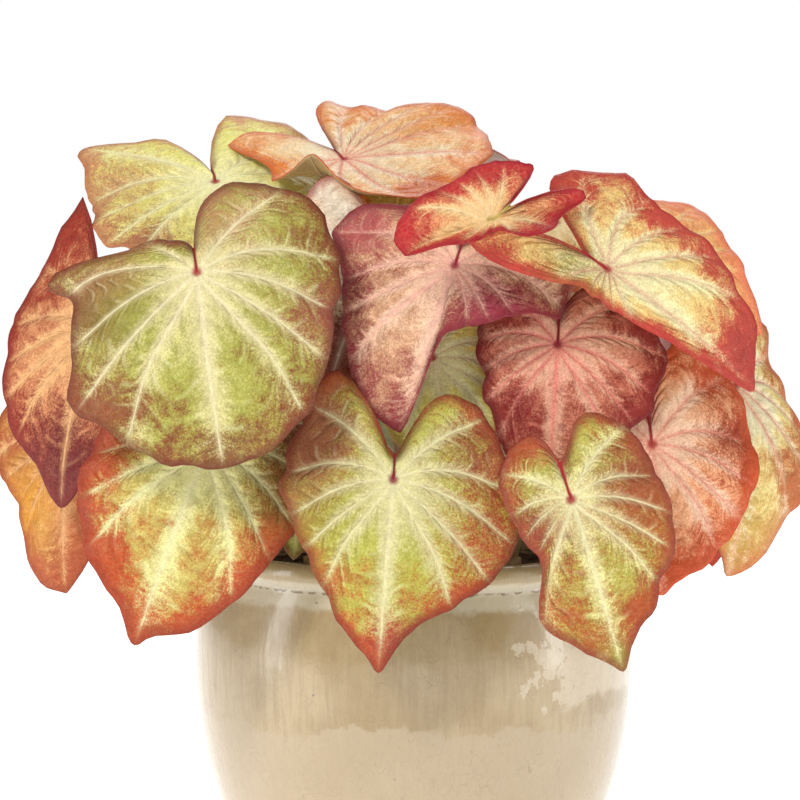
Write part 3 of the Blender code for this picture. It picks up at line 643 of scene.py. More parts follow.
def blade_placement(leaf):
    """Rotation and scale that bring the blade's frame to its place in the plant."""
    own_tip = Vector(blade_points(leaf, np.array([0.0]), np.array([1.0]))[0])
    tip = (Vector(leaf.tip) - Vector(leaf.joint)) * MM
    turn = axes_of(-tip, Vector(leaf.face)) @ axes_of(-own_tip, Vector((0, 0, 1))).transposed()
    return turn, tip.length / own_tip.length


def display(red, green, blue):
    """Linear colour, with alpha, of a colour given as it looks on a display, from 0 to 255."""
    shares = np.array((red, green, blue)) / 255.0
    linear = np.where(shares <= 0.04045, shares / 12.92, ((shares + 0.055) / 1.055) ** 2.4)
    return (*linear.tolist(), 1.0)


def add_node(tree, kind, inputs=None, **settings):
    """New node with its settings. Its inputs are plain values or other nodes' outputs."""
    node = tree.nodes.new(kind)
    for name, value in settings.items():
        setattr(node, name, value)
    for name, value in (inputs or {}).items():
        feed(tree, node.inputs[name], value)
    return node


def feed(tree, socket, value):
    if isinstance(value, bpy.types.NodeSocket):
        tree.links.new(value, socket)
    else:
        socket.default_value = value


def calculate(tree, operation, *values):
    node = add_node(tree, "ShaderNodeMath", operation=operation)
    for socket, value in zip(node.inputs, values):
        feed(tree, socket, value)
    return node.outputs["Value"]


def add_up(tree, *values):
    total = values[0]
    for value in values[1:]:
        total = calculate(tree, "ADD", total, value)
    return total


def multiply(tree, *values):
    product = values[0]
    for value in values[1:]:
        product = calculate(tree, "MULTIPLY", product, value)
    return product


def largest(tree, *values):
    most = values[0]
    for value in values[1:]:
        most = calculate(tree, "MAXIMUM", most, value)
    return most


def ramp(tree, value, start, end, low=0.0, high=1.0):
    """Smooth change from low to high as the value goes from start to end."""
    inputs = {"Value": value, "From Min": start, "From Max": end, "To Min": low, "To Max": high}
    node = add_node(tree, "ShaderNodeMapRange", inputs, interpolation_type="SMOOTHSTEP")
    return node.outputs["Result"]


def blend(tree, share, first, second, way="MIX"):
    """Colour between the first and the second. The node's colour sockets are found by their index."""
    node = add_node(tree, "ShaderNodeMix", data_type="RGBA", blend_type=way)
    feed(tree, node.inputs[0], share)
    feed(tree, node.inputs[6], first)
    feed(tree, node.inputs[7], second)
    return node.outputs[2]


def noise_of(tree, place, size, detail=2.0, roughness=0.5):
    """Noise round 0.5 with features of a size in metres."""
    inputs = {"Vector": place, "Scale": 1.0 / size, "Detail": detail, "Roughness": roughness}
    return add_node(tree, "ShaderNodeTexNoise", inputs).outputs["Fac"]


def about_zero(tree, value, strength):
    """A noise value moved to lie round zero, times a strength."""
    return calculate(tree, "MULTIPLY_ADD", value, strength, -0.5 * strength)


def cell_edges(tree, place, size, warp, detail):
    """How far each point is from the edges of bent cells of a size, in shares of a cell."""
    warp_size, strength = warp
    inputs = {"Vector": place, "Scale": 1.0 / warp_size, "Detail": detail}
    bend = add_node(tree, "ShaderNodeTexNoise", inputs)
    shifted = add_node(tree, "ShaderNodeVectorMath", operation="MULTIPLY_ADD")
    feed(tree, shifted.inputs[0], bend.outputs["Color"])
    feed(tree, shifted.inputs[1], (strength, strength, strength))
    feed(tree, shifted.inputs[2], place)
    inputs = {"Vector": shifted.outputs["Vector"], "Scale": 1.0 / size}
    return add_node(tree, "ShaderNodeTexVoronoi", inputs, feature="DISTANCE_TO_EDGE").outputs["Distance"]


def object_place(tree):
    return add_node(tree, "ShaderNodeTexCoord").outputs["Object"]


def parts_of(tree, place):
    """The X, Y and Z of a place."""
    return add_node(tree, "ShaderNodeSeparateXYZ", {"Vector": place}).outputs


def drawn_upright(tree, place, share):
    """A place whose height counts for only a share, so that noise on it runs in upright strokes."""
    inputs = {"Vector": place, "Scale": (1.0, 1.0, share)}
    return add_node(tree, "ShaderNodeMapping", inputs).outputs["Vector"]


def own_value(tree, name):
    return add_node(tree, "ShaderNodeAttribute", attribute_name=name).outputs["Fac"]


def new_group(name, inputs, outputs):
    """Empty node group with its sockets, its input node and its output node."""
    group = bpy.data.node_groups.new(name, "ShaderNodeTree")
    for label, kind, value in inputs:
        socket = group.interface.new_socket(label, in_out="INPUT", socket_type="NodeSocket" + kind)
        socket.default_value = value
    for label, kind in outputs:
        group.interface.new_socket(label, in_out="OUTPUT", socket_type="NodeSocket" + kind)
    return group, group.nodes.new("NodeGroupInput").outputs, group.nodes.new("NodeGroupOutput").inputs


def place_group(tree, group, values=None):
    node = tree.nodes.new("ShaderNodeGroup")
    node.node_tree = group
    for name, value in (values or {}).items():
        feed(tree, node.inputs[name], value)
    return node.outputs


def new_material(name):
    """New material, its node tree and its Principled shader."""
    material = bpy.data.materials.new(name)
    material.use_nodes = True
    tree = material.node_tree
    return material, tree, tree.nodes["Principled BSDF"]


def feed_height(tree, shader, height):
    """Bump from a height in millimetres."""
    bump = add_node(tree, "ShaderNodeBump", {"Strength": 1.0, "Distance": MM, "Height": height})
    tree.links.new(bump.outputs["Normal"], shader.inputs["Normal"])


def main_vein_lines(tree, distance, side, reach):
    """Lines of the main veins, which taper outwards, and the wide glow beside them. Side 0 is the midrib."""
    width = ramp(tree, reach, 0.0, 1.0, 1.6, 0.5)
    width = multiply(tree, width, ramp(tree, side, 0.4, 0.6, 1.35, 1.0))
    line = ramp(tree, distance, multiply(tree, width, 0.2), multiply(tree, width, 1.5), 1.0, 0.0)
    line = multiply(tree, line, ramp(tree, side, LAST_VEIN - 0.6, LAST_VEIN - 0.5, 1.0, 0.0))
    return line, ramp(tree, distance, 0.0, multiply(tree, width, 6.0), 1.0, 0.0)


def side_vein_fade(tree, reach, between, gap):
    """Where side veins show: not at the joint or in narrow places, and less at the margin and mid-bay."""
    return multiply(
        tree,
        ramp(tree, reach, 0.12, 0.3),
        ramp(tree, reach, 0.8, 1.0, 1.0, 0.1),
        ramp(tree, between, 0.5, 1.0, 1.0, 0.45),
        ramp(tree, gap, 4.0, 11.0),
    )


def vein_group():
    """Where a blade's veins run, from its Blade map: main veins at whole places, side veins between them."""
    names = ("Main", "Side", "Between", "Halo", "Reach", "Net", "Cleft", "Streak", "Height")
    tree, _, result = new_group("Leaf veins", (), [(name, "Float") for name in names])
    blade_map = parts_of(tree, add_node(tree, "ShaderNodeUVMap", uv_map="Blade").outputs["UV"])
    reach = blade_map["Y"]
    surface = object_place(tree)
    wobble = about_zero(tree, noise_of(tree, surface, 12 * MM), 0.03)
    place = calculate(tree, "MULTIPLY_ADD", blade_map["X"], 2.0 * LAST_VEIN, -LAST_VEIN)
    place = add_up(tree, place, wobble)
    side = calculate(tree, "ABSOLUTE", place)
    away = calculate(tree, "ABSOLUTE", calculate(tree, "SUBTRACT", place, calculate(tree, "ROUND", place)))
    between = multiply(tree, away, 2.0)
    gap = own_value(tree, "gap")
    main, halo = main_vein_lines(tree, multiply(tree, away, gap), side, reach)
    # Side veins leave the main ones outwards in a bow, at a step that differs from bay to bay
    turn = multiply(tree, calculate(tree, "FLOOR", multiply(tree, place, 2.0)), 0.37)
    course = calculate(tree, "SUBTRACT", reach, multiply(tree, calculate(tree, "SQRT", between), 0.17))
    uneven = about_zero(tree, noise_of(tree, surface, 14 * MM), 0.9)
    course = add_up(tree, multiply(tree, course, 7.0), turn, uneven)
    off = calculate(tree, "ABSOLUTE", calculate(tree, "SUBTRACT", course, calculate(tree, "ROUND", course)))
    fade = side_vein_fade(tree, reach, between, gap)
    broken = ramp(tree, noise_of(tree, surface, 7 * MM), 0.38, 0.6, 0.15, 1.0)
    side_veins = multiply(tree, ramp(tree, off, 0.01, 0.16, 1.0, 0.0), fade, broken)
    # Streaks of colour follow the side veins
    inputs = {
        "X": multiply(tree, course, 5.0),
        "Y": multiply(tree, between, 1.3),
        "Z": multiply(tree, turn, 9.0),
    }
    along = add_node(tree, "ShaderNodeCombineXYZ", inputs).outputs["Vector"]
    streak = noise_of(tree, along, 1.0, 3.0, 0.65)
    net = ramp(tree, cell_edges(tree, surface, NET_CELL, NET_WARP, 1.0), 0.02, 0.16, 1.0, 0.0)
    to_cleft = multiply(tree, calculate(tree, "SUBTRACT", LAST_VEIN, side), gap)
    cleft = ramp(tree, to_cleft, 0.4, 1.5, 1.0, 0.0)
    puff = multiply(tree, ramp(tree, off, 0.0, 0.42, 0.0, 0.9), fade, ramp(tree, between, 0.05, 0.3))
    height = add_up(tree, puff, multiply(tree, net, -NET_DEPTH), multiply(tree, side_veins, SIDE_VEIN_HEIGHT))
    values = (main, side_veins, between, halo, reach, net, cleft, streak, height)
    for name, value in zip(names, values):
        tree.links.new(value, result[name])
    return tree


def speckle_group():
    """A share of cover turned into grains, as the colours of the blade meet in a fine speckle."""
    inputs = (("Cover", "Float", 0.5), ("Grain", "Float", 0.5), ("Speckle", "Float", 1.0))
    tree, given, result = new_group("Leaf speckle", inputs, (("Mask", "Float"),))
    lifted = multiply(tree, calculate(tree, "SUBTRACT", given["Grain"], 0.5), given["Speckle"])
    cover = add_up(tree, given["Cover"], multiply(tree, lifted, 1.9))
    tree.links.new(ramp(tree, cover, -0.05, 1.05), result["Mask"])
    return tree


@dataclass
class Mottle:
    """Noise on a blade, from broad to fine. The second grain keeps the flush apart from the field."""

    broad: object
    medium: object
    grain: object
    second_grain: object


def blade_mottle(tree, surface, streak):
    moved = add_node(tree, "ShaderNodeMapping", {"Vector": surface, "Location": (3, 1, 2)}).outputs["Vector"]
    drawn = about_zero(tree, streak, 0.45)
    fine = noise_of(tree, surface, 1.1 * MM, 2.0, 0.6)
    second_fine = noise_of(tree, moved, 1.0 * MM, 2.0, 0.6)
    return Mottle(
        broad=noise_of(tree, surface, 34 * MM, 2.0),
        medium=noise_of(tree, surface, 9 * MM, 3.0, 0.6),
        grain=add_up(tree, calculate(tree, "MULTIPLY_ADD", fine, 0.8, 0.1), drawn),
        second_grain=add_up(tree, calculate(tree, "MULTIPLY_ADD", second_fine, 0.8, 0.1), drawn),
    )


def field_cover(tree, vein, mottle, share):
    """Cover of the second colour, which lies between the veins and grows outwards."""
    cover = multiply(tree, ramp(tree, vein["Between"], 0.1, 0.75), ramp(tree, vein["Reach"], 0.1, 0.5))
    cover = multiply(tree, cover, ramp(tree, vein["Halo"], 0.1, 0.9, 1.0, 0.2), share)
    return add_up(tree, cover, about_zero(tree, mottle.broad, 1.1), about_zero(tree, mottle.medium, 1.0),
                  ramp(tree, vein["Reach"], 0.3, 0.9, -0.05, 0.5))


def flush_cover(tree, vein, mottle, start, full):
    """Cover of the flush, which comes in from the margin and holds back along the veins."""
    inputs = {"Value": vein["Reach"], "From Min": start, "From Max": full}
    cover = add_node(tree, "ShaderNodeMapRange", inputs, clamp=False).outputs["Result"]
    return add_up(tree, cover, about_zero(tree, mottle.broad, 2.2), about_zero(tree, mottle.medium, 1.6),
                  multiply(tree, vein["Halo"], -0.22), multiply(tree, vein["Side"], -0.2))


def vein_share(tree, vein, mottle, share, flush):
    """How strongly the veins' colour shows: less near the margin and in the flush, a little in the net."""
    glow = multiply(tree, calculate(tree, "POWER", vein["Halo"], 1.5), 0.5)
    lines = largest(tree, vein["Main"], multiply(tree, vein["Side"], 0.38), glow)
    lines = multiply(tree, lines, share, ramp(tree, own_value(tree, "edge"), 1.0, 9.0, 0.15, 1.0))
    lines = multiply(tree, lines, ramp(tree, mottle.grain, 0.3, 0.55, 0.65, 1.0))
    lines = multiply(tree, lines, ramp(tree, flush, 0.2, 1.0, 1.0, 0.45))
    return largest(tree, lines, multiply(tree, vein["Net"], 0.045))


def rim_share(tree, mottle, width):
    """How strongly the rim's colour shows: a ragged band, with a thin line right at the margin."""
    edge = own_value(tree, "edge")
    ragged = add_up(tree, edge, about_zero(tree, mottle.medium, 5.0), about_zero(tree, mottle.grain, 3.0),
                    about_zero(tree, mottle.broad, 5.0))
    band = multiply(tree, ramp(tree, ragged, 0.0, multiply(tree, width, 1.7), 1.0, 0.0), 0.7)
    return largest(tree, band, ramp(tree, edge, 0.3, 1.2, 0.7, 0.0))


def spot_share(tree, vein, mottle):
    """The spot at the joint, and the line that runs from it into the cleft."""
    joint = add_up(tree, own_value(tree, "joint"), about_zero(tree, mottle.medium, 3.0))
    return largest(tree, multiply(tree, ramp(tree, joint, 1.2, 4.2, 1.0, 0.0), 0.9), vein["Cleft"])


def mottled_tone(tree, surface, mottle):
    """A grey that lightens and darkens the blade a little, in blotches and grains."""
    blotches = ramp(tree, noise_of(tree, surface, 5 * MM, 3.0, 0.7), 0.3, 0.7, 0.92, 1.06)
    tone = multiply(tree, blotches, ramp(tree, mottle.grain, 0.3, 0.62, 1.06, 0.84))
    inputs = {"Red": tone, "Green": tone, "Blue": tone}
    return add_node(tree, "ShaderNodeCombineColor", inputs).outputs["Color"]


def blade_group(veins, speckle):
    """Colour, roughness and height of a blade's upper face."""
    inputs = (("Centre", "Color", WHITE), ("Field", "Color", WHITE), ("Flush", "Color", WHITE),
              ("Rim", "Color", WHITE), ("Vein", "Color", WHITE), ("Spot", "Color", WHITE),
              ("Flush Start", "Float", 0.6), ("Flush Full", "Float", 1.1), ("Field Share", "Float", 0.7),
              ("Vein Share", "Float", 0.9), ("Rim Width", "Float", 3.5), ("Speckle", "Float", 1.0))
    outputs = (("Colour", "Color"), ("Roughness", "Float"), ("Height", "Float"))
    tree, given, result = new_group("Leaf face", inputs, outputs)
    vein = place_group(tree, veins)
    surface = object_place(tree)
    mottle = blade_mottle(tree, surface, vein["Streak"])

    def speckled(cover, grain):
        values = {"Cover": cover, "Grain": grain, "Speckle": given["Speckle"]}
        return place_group(tree, speckle, values)["Mask"]

    field = speckled(field_cover(tree, vein, mottle, given["Field Share"]), mottle.grain)
    colour = blend(tree, multiply(tree, field, 0.85), given["Centre"], given["Field"])
    flush = flush_cover(tree, vein, mottle, given["Flush Start"], given["Flush Full"])
    flush = speckled(flush, mottle.second_grain)
    colour = blend(tree, flush, colour, given["Flush"])
    patch = add_node(tree, "ShaderNodeAttribute", attribute_name="patch").outputs
    cover = add_up(tree, patch["Alpha"], about_zero(tree, mottle.medium, 0.8), -0.1)
    patch_share = multiply(tree, speckled(cover, mottle.second_grain), ramp(tree, patch["Alpha"], 0.02, 0.2))
    colour = blend(tree, patch_share, colour, patch["Color"])
    colour = blend(tree, vein_share(tree, vein, mottle, given["Vein Share"], flush), colour, given["Vein"])
    rim = rim_share(tree, mottle, given["Rim Width"])
    colour = blend(tree, rim, colour, given["Rim"])
    colour = blend(tree, spot_share(tree, vein, mottle), colour, given["Spot"])
    colour = blend(tree, 1.0, colour, mottled_tone(tree, surface, mottle), "MULTIPLY")
    tree.links.new(colour, result["Colour"])
    rough = add_up(tree, ramp(tree, mottle.grain, 0.3, 0.7, 0.42, 0.56), multiply(tree, rim, -0.05))
    tree.links.new(rough, result["Roughness"])
    height = add_up(tree, vein["Height"], multiply(tree, mottle.grain, 0.12))
    tree.links.new(height, result["Height"])
    return tree


def underside_group(veins):
    """Colour, roughness and height of a blade's underside, where the main veins stand proud."""
    inputs = (("Face", "Color", WHITE), ("Vein", "Color", WHITE))
    outputs = (("Colour", "Color"), ("Roughness", "Float"), ("Height", "Float"))
    tree, given, result = new_group("Leaf underside", inputs, outputs)
    vein = place_group(tree, veins)
    surface = object_place(tree)
    lines = largest(tree, vein["Main"], multiply(tree, vein["Side"], 0.6), multiply(tree, vein["Net"], 0.2))
    medium = noise_of(tree, surface, 8 * MM, 4.0, 0.65)
    dark = blend(tree, 0.35, given["Face"], UNDERSIDE_SHADE)
    face = blend(tree, ramp(tree, medium, 0.35, 0.7), given["Face"], dark)
    tree.links.new(blend(tree, lines, face, given["Vein"]), result["Colour"])
    tree.links.new(ramp(tree, medium, 0.3, 0.7, 0.5, 0.62), result["Roughness"])
    height = add_up(tree, multiply(tree, vein["Main"], 0.8), multiply(tree, lines, 0.3),
                    multiply(tree, medium, 0.2))
    tree.links.new(height, result["Height"])
    return tree


def blade_material(leaf, group):
    finish = FINISHES.get(leaf.name, KIND_FINISHES[leaf.kind])
    material, tree, shader = new_material("face_" + leaf.name)
    values = {
        "Centre": display(*finish.centre),
        "Field": display(*finish.field),
        "Flush": display(*finish.flush),
        "Rim": display(*finish.rim),
        "Vein": display(*finish.vein),
        "Spot": display(*finish.spot),
        "Flush Start": finish.flush_start,
        "Flush Full": finish.flush_full,
        "Field Share": finish.field_share,
        "Vein Share": finish.vein_share,
        "Rim Width": finish.rim_width,
        "Speckle": finish.speckle,
    }
    face = place_group(tree, group, values)
    tree.links.new(face["Colour"], shader.inputs["Base Color"])
    tree.links.new(face["Roughness"], shader.inputs["Roughness"])
    shader.inputs["Specular IOR Level"].default_value = LEAF_SHINE
    feed_height(tree, shader, face["Height"])
    return material


def underside_material(kind, group):
    material, tree, shader = new_material("underside_" + kind)
    face_colour, vein_colour = UNDERSIDES[kind]
    face = place_group(tree, group, {"Face": display(*face_colour), "Vein": display(*vein_colour)})
    tree.links.new(face["Colour"], shader.inputs["Base Color"])
    tree.links.new(face["Roughness"], shader.inputs["Roughness"])
    feed_height(tree, shader, face["Height"])
    return material


def vein_angle(place, reach):
    """Angle in degrees from the midrib of a line of the blade, by its place: whole places are main veins."""
    side = np.abs(place)
    lower = np.minimum(np.floor(side).astype(int), LAST_VEIN - 1)
    courses = np.array([smooth_through(reach, VEIN_REACHES, vein) for vein in MAIN_VEINS])
    columns = np.arange(len(reach))
    start = courses[lower, columns]
    end = courses[lower + 1, columns]
    return np.sign(place) * (start + (end - start) * (side - lower))


def column_places():
    """Places of a blade's columns, from one side of the cleft to the other, crowded at the veins."""
    right = [vein + step for vein in range(LAST_VEIN - 1) for step in VEIN_STEPS]
    right += [LAST_VEIN - 1 + step for step in CLEFT_STEPS]
    return np.array([-place for place in reversed(right[1:])] + right)


def vein_relief(place, reach, gap):
    """Swelling of the blade between its main veins, and the ridge of each vein, in shares of the midrib."""
    away = np.abs(place - np.rint(place))
    swell = np.sin(np.pi * away) ** SWELL_POWER * smooth_step(reach, 0.0, 0.35) * (1.0 - 0.5 * reach**2)
    ridge = np.exp(-((away * gap / RIDGE_WIDTH) ** 2)) * smooth_step(reach, 0.0, 0.1) * (1.0 - reach)
    return PUFF * swell + RIDGE * ridge


def margin_gap(points, leaf):
    """How far each flat point is from the margin, in shares of the midrib."""
    angles = np.linspace(-180.0, 180.0, MARGIN_SAMPLES)
    margin = flat_points(leaf, angles, np.ones(len(angles)))
    return np.sqrt(((points[:, None, :] - margin[None, :, :]) ** 2).sum(axis=2).min(axis=1))


def patch_colours(points, leaf):
    """Colour and strength of the leaf's own patches at each flat point."""
    patches = FINISHES[leaf.name].patches if leaf.name in FINISHES else ()
    strength = np.zeros(len(points))
    colour = np.zeros((len(points), 3))
    for angle, reach, radius, shade, power in patches:
        centre = flat_points(leaf, np.array([float(angle)]), np.array([reach]))[0]
        weight = power * np.exp(-((points - centre) ** 2).sum(axis=1) / radius**2)
        colour += weight[:, None] * np.array(display(*shade)[:3])
        strength += weight
    colour /= np.maximum(strength, 1e-6)[:, None]
    return np.concatenate([colour, np.minimum(strength, PATCH_LIMIT)[:, None]], axis=1)


def blade_sheet():
    """Flat sheet with its Blade map, and each vertex's place among the veins and reach to the margin."""
    places = column_places()
    last = len(places) - 1
    shape = bmesh.new()
    bmesh.ops.create_grid(shape, x_segments=last, y_segments=BLADE_RINGS, size=1.0)
    grid = np.array([vertex.co[:2] for vertex in shape.verts])
    place = places[np.rint((grid[:, 0] + 1.0) / 2 * last).astype(int)]
    reach = (grid[:, 1] + 1.0) / 2
    shape.verts.index_update()
    blade_map = shape.loops.layers.uv.new("Blade")
    for sheet_face in shape.faces:
        for loop in sheet_face.loops:
            corner = loop.vert.index
            loop[blade_map].uv = ((place[corner] + LAST_VEIN) / (2 * LAST_VEIN), reach[corner])
    return shape, place, reach


def make_blade(leaf, face, underside):
    """A waved sheet whose columns run along the veins, with its thickness and its pattern's own values."""
    shape, place, reach = blade_sheet()
    turn, scale = blade_placement(leaf)
    angle = vein_angle(place, reach)
    flat = flat_points(leaf, angle, reach)
    from_joint = np.hypot(flat[:, 0], flat[:, 1])
    opening = vein_angle(place + PLACE_STEP, reach) - vein_angle(place - PLACE_STEP, reach)
    gap = np.radians(np.abs(opening)) / (2 * PLACE_STEP) * from_joint * scale
    relief = vein_relief(place, reach, gap)
    points = blade_points(leaf, angle, reach, relief) * scale @ np.array(turn).T + np.array(leaf.joint) * MM
    values = {
        "gap": gap / MM,
        "edge": margin_gap(flat, leaf) * scale / MM,
        "joint": from_joint * scale / MM,
    }
    layers = {name: shape.verts.layers.float.new(name) for name in values}
    patch_layer = shape.verts.layers.float_color.new("patch")
    patches = patch_colours(flat, leaf)
    for vertex, point in zip(shape.verts, points):
        vertex.co = point
        vertex[patch_layer] = patches[vertex.index]
        for name, layer in layers.items():
            vertex[layer] = values[name][vertex.index]
    bmesh.ops.remove_doubles(shape, verts=shape.verts, dist=MERGE_DISTANCE)
    bmesh.ops.reverse_faces(shape, faces=shape.faces)
    smooth_faces(shape)
    mesh = mesh_of("leaf_" + leaf.name, shape)
    mesh.materials.append(face)
    mesh.materials.append(underside)
    blade = new_piece("leaf_" + leaf.name, mesh, "blade_" + leaf.name)
    thickness = blade.modifiers.new("Thickness", "SOLIDIFY")
    thickness.thickness = BLADE_THICKNESS
    thickness.offset = 0.0
    thickness.material_offset = 1
    return blade


def new_piece(name, mesh, node):
    """A finished piece that stands for a node of the part: it hangs under the root body, and the node's own piece
    is hidden.
    """
    piece = bpy.data.objects.new(name, mesh)
    bpy.context.scene.collection.objects.link(piece)
    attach(piece, "root")
    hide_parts(node)
    return piece


def smooth_faces(shape):
    for face in shape.faces:
        face.smooth = True


def mesh_of(name, shape):
    mesh = bpy.data.meshes.new(name)
    shape.to_mesh(mesh)
    shape.free()
    return mesh


def turned_shape(profile, sides, centre=(0.0, 0.0)):
    """Shape of a profile of (radius, height) points, from axis to axis, turned once round."""
    shape = bmesh.new()
    points = [shape.verts.new((centre[0] + radius, centre[1], height)) for radius, height in profile]
    edges = [shape.edges.new(pair) for pair in zip(points, points[1:])]
    bmesh.ops.spin(
        shape,
        geom=points + edges,
        cent=(centre[0], centre[1], 0.0),
        axis=(0, 0, 1),
        angle=2.0 * math.pi,
        steps=sides,
        use_merge=True,
    )
    bmesh.ops.remove_doubles(shape, verts=shape.verts, dist=MERGE_DISTANCE)
    bmesh.ops.recalc_face_normals(shape, faces=shape.faces)
    shape.normal_update()
    smooth_faces(shape)
    return shape


def lip_foot():
    """Height where the wall runs into the rolled lip."""
    return POT_HEIGHT - 2 * LIP_RADIUS


def pot_radius(height):
    """Outer radius of the pot's wall below the lip."""
    if height < POT_BELLY_HEIGHT:
        share = (POT_BELLY_HEIGHT - height) / POT_BELLY_HEIGHT
        return POT_BELLY_RADIUS - (POT_BELLY_RADIUS - POT_BASE_RADIUS) * share**POT_TAPER_POWER
    share = (height - POT_BELLY_HEIGHT) / (lip_foot() - POT_BELLY_HEIGHT)
    return POT_BELLY_RADIUS - (POT_BELLY_RADIUS - POT_NECK_RADIUS) * share**POT_SHOULDER_POWER


def inner_radius(height):
    return pot_radius(height) - POT_WALL


def pot_profile():
    foot = [(0.0, 0.0), (POT_BASE_RADIUS - FOOT_CHAMFER, 0.0)]
    for angle in np.radians(np.linspace(-75, -15, 4)):
        radius = POT_BASE_RADIUS - FOOT_CHAMFER + FOOT_CHAMFER * math.cos(angle)
        foot.append((radius, FOOT_CHAMFER + FOOT_CHAMFER * math.sin(angle)))
    outside = [(pot_radius(height), height) for height in np.linspace(FOOT_CHAMFER, lip_foot(), 48)]
    lip = []
    for angle in np.radians(np.linspace(-45, 180, 22)):
        radius = LIP_CENTRE_RADIUS + LIP_RADIUS * math.cos(angle)
        lip.append((radius, POT_HEIGHT - LIP_RADIUS + LIP_RADIUS * math.sin(angle)))
    inside = [(inner_radius(height), height) for height in np.linspace(lip_foot(), POT_FLOOR + POT_WALL, 20)]
    floor = [(inner_radius(POT_FLOOR) - POT_WALL, POT_FLOOR), (0.0, POT_FLOOR)]
    return foot + outside + lip + inside + floor


def make_pot(material):
    mesh = mesh_of("glazed_pot", turned_shape(pot_profile(), POT_SIDES))
    mesh.materials.append(material)
    return new_piece("glazed_pot", mesh, "pot")


def lumpy(vertices, size, depth, seed):
    """Pushes vertices along their normals by seeded noise."""
    for vertex in vertices:
        place = vertex.co / size + Vector((seed, seed, seed))
        vertex.co += vertex.normal * noise.noise(place) * depth


def soil_profile(rim):
    bottom = inner_radius(POT_FLOOR) - POT_WALL - SOIL_GAP
    profile = [(0.0, POT_FLOOR + SOIL_GAP), (bottom, POT_FLOOR + SOIL_GAP)]
    for height in np.linspace(POT_FLOOR + POT_WALL, SOIL_TOP, 8):
        profile.append((inner_radius(height) - SOIL_GAP, height))
    for share in np.linspace(1.0, 0.0, SOIL_RINGS + 1)[1:]:
        profile.append((share * rim, SOIL_TOP + SOIL_MOUND * (1.0 - share**2)))
    return profile


def make_soil(material):
    """The filling, rough on top, with chips of bark pressed into it. The chips keep flat faces."""
    rim = inner_radius(SOIL_TOP) - SOIL_GAP
    mesh = mesh_of("potting_soil", turned_shape(soil_profile(rim), SOIL_SIDES))
    shape = bmesh.new()
    shape.from_mesh(mesh)
    top = [vertex for vertex in shape.verts if vertex.co.z > SOIL_TOP + 0.1 * MM]
    lumpy(top, SOIL_LUMP_SIZE, SOIL_ROUGHNESS, SOIL_NOISE_PLACE)
    draw = np.random.default_rng(SEED)
    for _ in range(CHIP_COUNT):
        add_chip(shape, draw, rim)
    shape.to_mesh(mesh)
    shape.free()
    mesh.materials.append(material)
    return new_piece("potting_soil", mesh, "soil")


def add_chip(shape, draw, rim):
    """One flat chip of bark lying at a slant in the soil's top."""
    heading = draw.uniform(0.0, 2.0 * math.pi)
    out = rim * math.sqrt(draw.uniform(0.0, 1.0)) * 0.95
    height = SOIL_TOP + SOIL_MOUND * (1.0 - (out / rim) ** 2)
    chip = bmesh.ops.create_icosphere(shape, subdivisions=1, radius=1.0)["verts"]
    size = CHIP_SIZE * draw.uniform(0.5, 1.0)
    tilt = Matrix.Rotation(draw.uniform(-0.5, 0.5), 3, "X") @ Matrix.Rotation(draw.uniform(-0.5, 0.5), 3, "Y")
    spread = Matrix.Diagonal((size, size * draw.uniform(0.35, 0.8), size * draw.uniform(0.15, 0.3)))
    turn = Matrix.Rotation(draw.uniform(0.0, 6.28), 3, "Z") @ tilt @ spread
    for vertex in chip:
        roughened = vertex.co * draw.uniform(0.8, 1.15)
        vertex.co = turn @ roughened + Vector((out * math.cos(heading), out * math.sin(heading), height))


def tuber_profile():
    """A flattened round tuber with its neck."""
    middle = SOIL_TOP - TUBER_DEPTH + TUBER_HEIGHT / 2
    neck_angle = math.acos(NECK_RADIUS / TUBER_RADIUS)
    profile = [(0.0, middle - TUBER_HEIGHT / 2)]
    for angle in np.linspace(-math.pi / 2, neck_angle, 16)[1:]:
        profile.append((TUBER_RADIUS * math.cos(angle), middle + TUBER_HEIGHT / 2 * math.sin(angle)))
    shoulder = profile[-1][1]
    for share in np.linspace(0.15, 1.0, 12):
        profile.append((NECK_RADIUS, shoulder + (NECK_TOP - shoulder) * share))
    crown = NECK_TOP + 0.5 * MM
    return profile + [(NECK_RADIUS * 0.6, crown), (0.0, crown)]


def stalk_root(leaf, place, count):
    """Start of a stalk inside the neck: the stalks of a tuber stand in a ring, in order of their headings."""
    heading = 2.0 * math.pi * place / count
    centre = TUBERS[leaf.tuber]
    ring = Vector((math.cos(heading), math.sin(heading), 0.0)) * STALK_RING_RADIUS
    return Vector((*centre, NECK_TOP - STALK_ROOT_DEPTH)) + ring


def heading_of(leaf):
    centre = TUBERS[leaf.tuber]
    return math.atan2(leaf.joint[1] * MM - centre[1], leaf.joint[0] * MM - centre[0]) % (2.0 * math.pi)


def curve_point(points, share):
    """Point of a cubic curve with four control points."""
    weights = ((1 - share) ** 3, 3 * share * (1 - share) ** 2, 3 * share**2 * (1 - share), share**3)
    return sum((point * weight for point, weight in zip(points, weights)), Vector())


def stalk_controls(leaf, root):
    """Control points of a stalk's course: straight up at first, then over to the blade from below."""
    turn, _ = blade_placement(leaf)
    normal = turn @ Vector((0, 0, 1))
    end = Vector(leaf.joint) * MM - normal * BLADE_THICKNESS * 0.4
    arrival = (normal + Vector((0, 0, leaf.steepness))).normalized()
    return (root, root + Vector((0, 0, leaf.rise * MM)), end - arrival * leaf.reach * MM, end), normal


